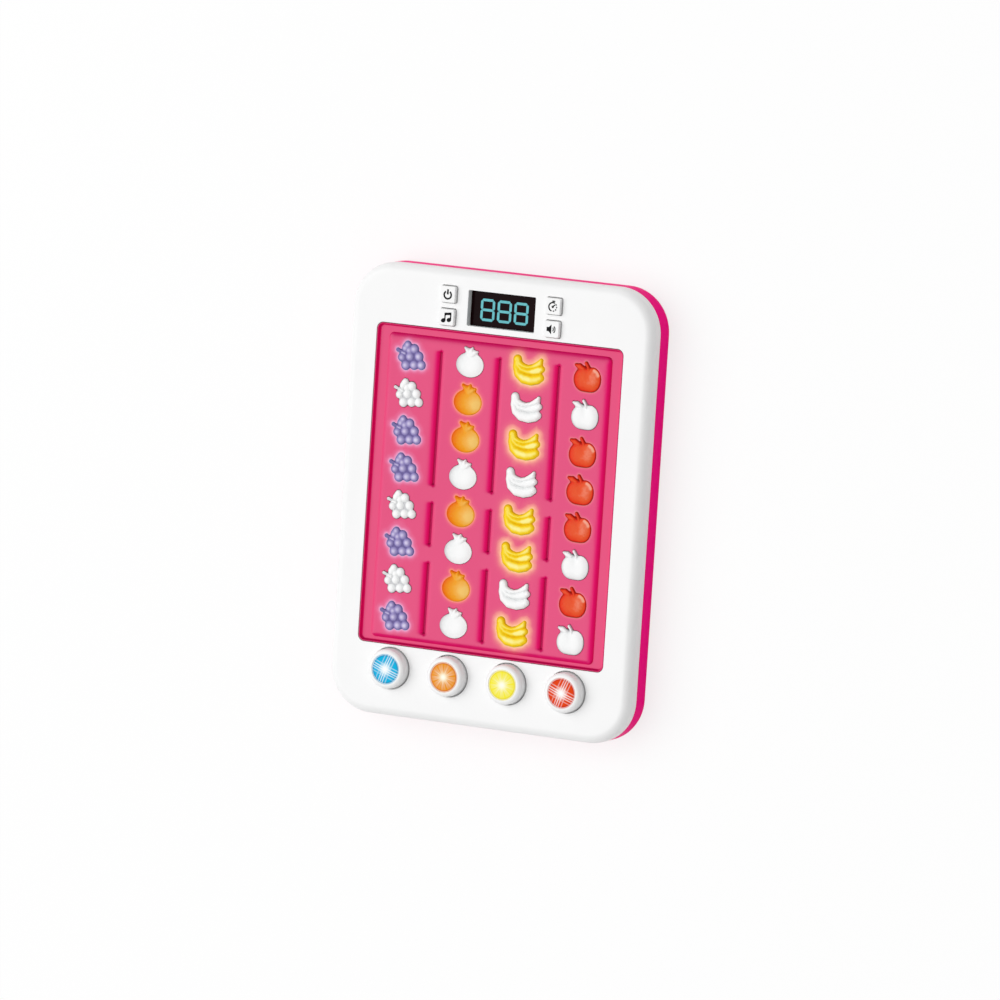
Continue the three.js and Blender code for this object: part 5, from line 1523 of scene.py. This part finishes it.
def digit(x):
    solid = Solid()
    across = DIGIT_WIDTH / 2 - SEGMENT_WIDTH / 2
    step = DIGIT_HEIGHT / 2 - SEGMENT_WIDTH / 2
    y = window_y - DIGIT_DROP
    bars = [segment(x, y + k * step, 2 * across - SEGMENT_GAP, False) for k in (-1, 0, 1)]
    bars += [segment(x + side * across, y + k * step / 2, step - SEGMENT_GAP, True)
             for side in (-1, 1) for k in (-1, 1)]
    for bar in bars:
        solid.prism(bar, window_z - PRINT_ROOT, window_z + PRINT_THICKNESS)
    return solid


window_outline = rounded_rect(window_high.x, window_half_y, WINDOW_CORNER_RADIUS, 0, window_y,
                              SMALL_CORNER_STEPS)
window = Solid()
window.prism(window_outline, window_low.z, window_high.z, WINDOW_EDGE)
place(window, "window_glass", "display_dark", ["display_window"])
for i in range(DIGIT_COUNT):
    place(digit((i - (DIGIT_COUNT - 1) / 2) * DIGIT_PITCH), f"digit_{i + 1}", "display_digits")


# Back: feet, screws and speaker

def foot(spot):
    return turned_solid([
        (0, 0), (FOOT_RADIUS - FOOT_CHAMFER, 0, FOOT_ROUND), (FOOT_RADIUS, FOOT_CHAMFER, FOOT_ROUND),
        (FOOT_RADIUS, FOOT_HEIGHT), (0, FOOT_HEIGHT),
    ], spot)


def shell_screw(spot, tip):
    solid = Solid()
    low = screw_seat_z - SCREW_HEAD_HEIGHT
    body = solid.turned(softened([
        (SCREW_HEAD_RADIUS - SCREW_HEAD_SLOPE, low),
        (SCREW_HEAD_RADIUS, low + SCREW_HEAD_SLOPE, SCREW_HEAD_ROUND), (SCREW_HEAD_RADIUS, screw_seat_z),
        (SCREW_SHANK_RADIUS, screw_seat_z), (SCREW_SHANK_RADIUS, tip - SCREW_SHANK_RADIUS),
        (SCREW_SHANK_RADIUS / 2, tip), (0, tip),
    ]), spot.x, spot.y, SMALL_DISC_STEPS)
    arm = [(RECESS_REACH, -RECESS_HALF_WIDTH), (RECESS_REACH, RECESS_HALF_WIDTH),
           (RECESS_HALF_WIDTH, RECESS_HALF_WIDTH)]
    cross = []
    for _ in range(4):
        cross += arm
        arm = [(-v, u) for u, v in arm]
    cross = np.array(cross)
    recess = solid.skin([(RECESS_TAPER * cross + (spot.x, spot.y), low + RECESS_DEPTH),
                         (cross + (spot.x, spot.y), low)])
    solid.fill(recess[0], up=False)
    solid.fill(body[0], [recess[1]], up=False)
    return solid


def speaker_unit():
    face, back = speaker_low.z, speaker_high.z
    brim = face + SPEAKER_FRAME_HEIGHT
    return turned_solid([
        *[(radius, face + height, *rounding) for radius, height, *rounding in SPEAKER_FACE],
        (SPEAKER_FRAME_RADIUS, brim, SPEAKER_FRAME_ROUND), (MAGNET_RADIUS, brim, SPEAKER_FRAME_ROUND),
        (MAGNET_RADIUS, back, MAGNET_ROUND), (0, back),
    ], (speaker_low + speaker_high) / 2)


for i in range(1, 5):
    place(foot(middle(f"rubber_foot_{i}")), f"foot_{i}", "rubber_black", [f"rubber_foot_{i}"])
for i, screw in enumerate(shell_screws, 1):
    tip = node_box(f"shell_screw_{i}")[1].z
    place(shell_screw(screw, tip), f"case_screw_{i}", "steel", [f"shell_screw_{i}"])
place(speaker_unit(), "speaker_unit", "speaker_metal", ["speaker"])

# The other pieces inside the case keep the frame's own meshes, in the looks of their slots
for part in frame["record"]["subparts"]:
    if part["node"] not in replaced:
        for holder in frame["nodes"][part["node"]].material_slots:
            holder.material = looks[part["material_slot"]]


# Studio

def stage_floor():
    """Pale floor, which the camera sees most of the way to pure white."""
    look = Look("studio_floor")
    look.set(Base_Color=look.clouds(300, 3, 0.955, 0.965), Roughness=0.9, Specular_IOR_Level=0.0)
    seen = look.product(look.node("LightPath").outputs["Is Camera Ray"], FLOOR_WHITENESS)
    white = look.node("Emission", {"Color": (1, 1, 1), "Strength": 1.0}).outputs["Emission"]
    mixed = look.node("MixShader", {0: seen, 1: look.shader.outputs["BSDF"], 2: white}).outputs["Shader"]
    look.connect(look.tree.nodes["Material Output"].inputs["Surface"], mixed)
    half = FLOOR_SIZE / 2
    mesh = bpy.data.meshes.new("studio_floor")
    mesh.from_pydata([(-half, -half, 0), (half, -half, 0), (half, half, 0), (-half, half, 0)], [],
                     [(0, 1, 2, 3)])
    mesh.materials.append(look.material)
    shown("studio_floor", mesh)


def studio_world():
    """Plain soft light from all round, which is white where it is seen or reflected."""
    world = bpy.data.worlds.new("studio")
    world.use_nodes = True
    nodes = Nodes(world.node_tree)
    path = nodes.node("LightPath").outputs
    seen = nodes.math("MAXIMUM", path["Is Camera Ray"], path["Is Glossy Ray"])
    seen = nodes.math("MAXIMUM", seen, path["Is Transmission Ray"])
    backdrop = world.node_tree.nodes["Background"].inputs
    nodes.connect(backdrop["Color"], (1, 1, 1))
    nodes.connect(backdrop["Strength"], nodes.ranged(seen, 0, 1, WORLD_LIGHT, 1))
    bpy.context.scene.world = world


def studio_lamp():
    lamp = bpy.data.lights.new("key_lamp", "AREA")
    lamp.shape = "SQUARE"
    lamp.size = KEY_SIZE
    lamp.energy = KEY_POWER
    holder = shown("key_lamp", lamp)
    way = Vector(KEY_DIRECTION).normalized()
    holder.location = way * KEY_DISTANCE
    holder.rotation_euler = way.to_track_quat("Z", "Y").to_euler()


def photo_camera():
    camera = bpy.data.cameras.new("photo_camera")
    camera.lens = LENS_MM
    camera.sensor_width = SENSOR_MM
    holder = shown("photo_camera", camera)
    eye = (Vector(AIM_POINT) + CAMERA_DISTANCE * Vector(VIEW_BACK)) * MM
    turn = Matrix((VIEW_RIGHT, VIEW_UP, VIEW_BACK)).transposed().to_4x4()
    holder.matrix_world = Matrix.Translation(eye) @ turn
    bpy.context.scene.camera = holder


stage_floor()
studio_world()
studio_lamp()
photo_camera()
bpy.context.scene.view_settings.view_transform = "Standard"
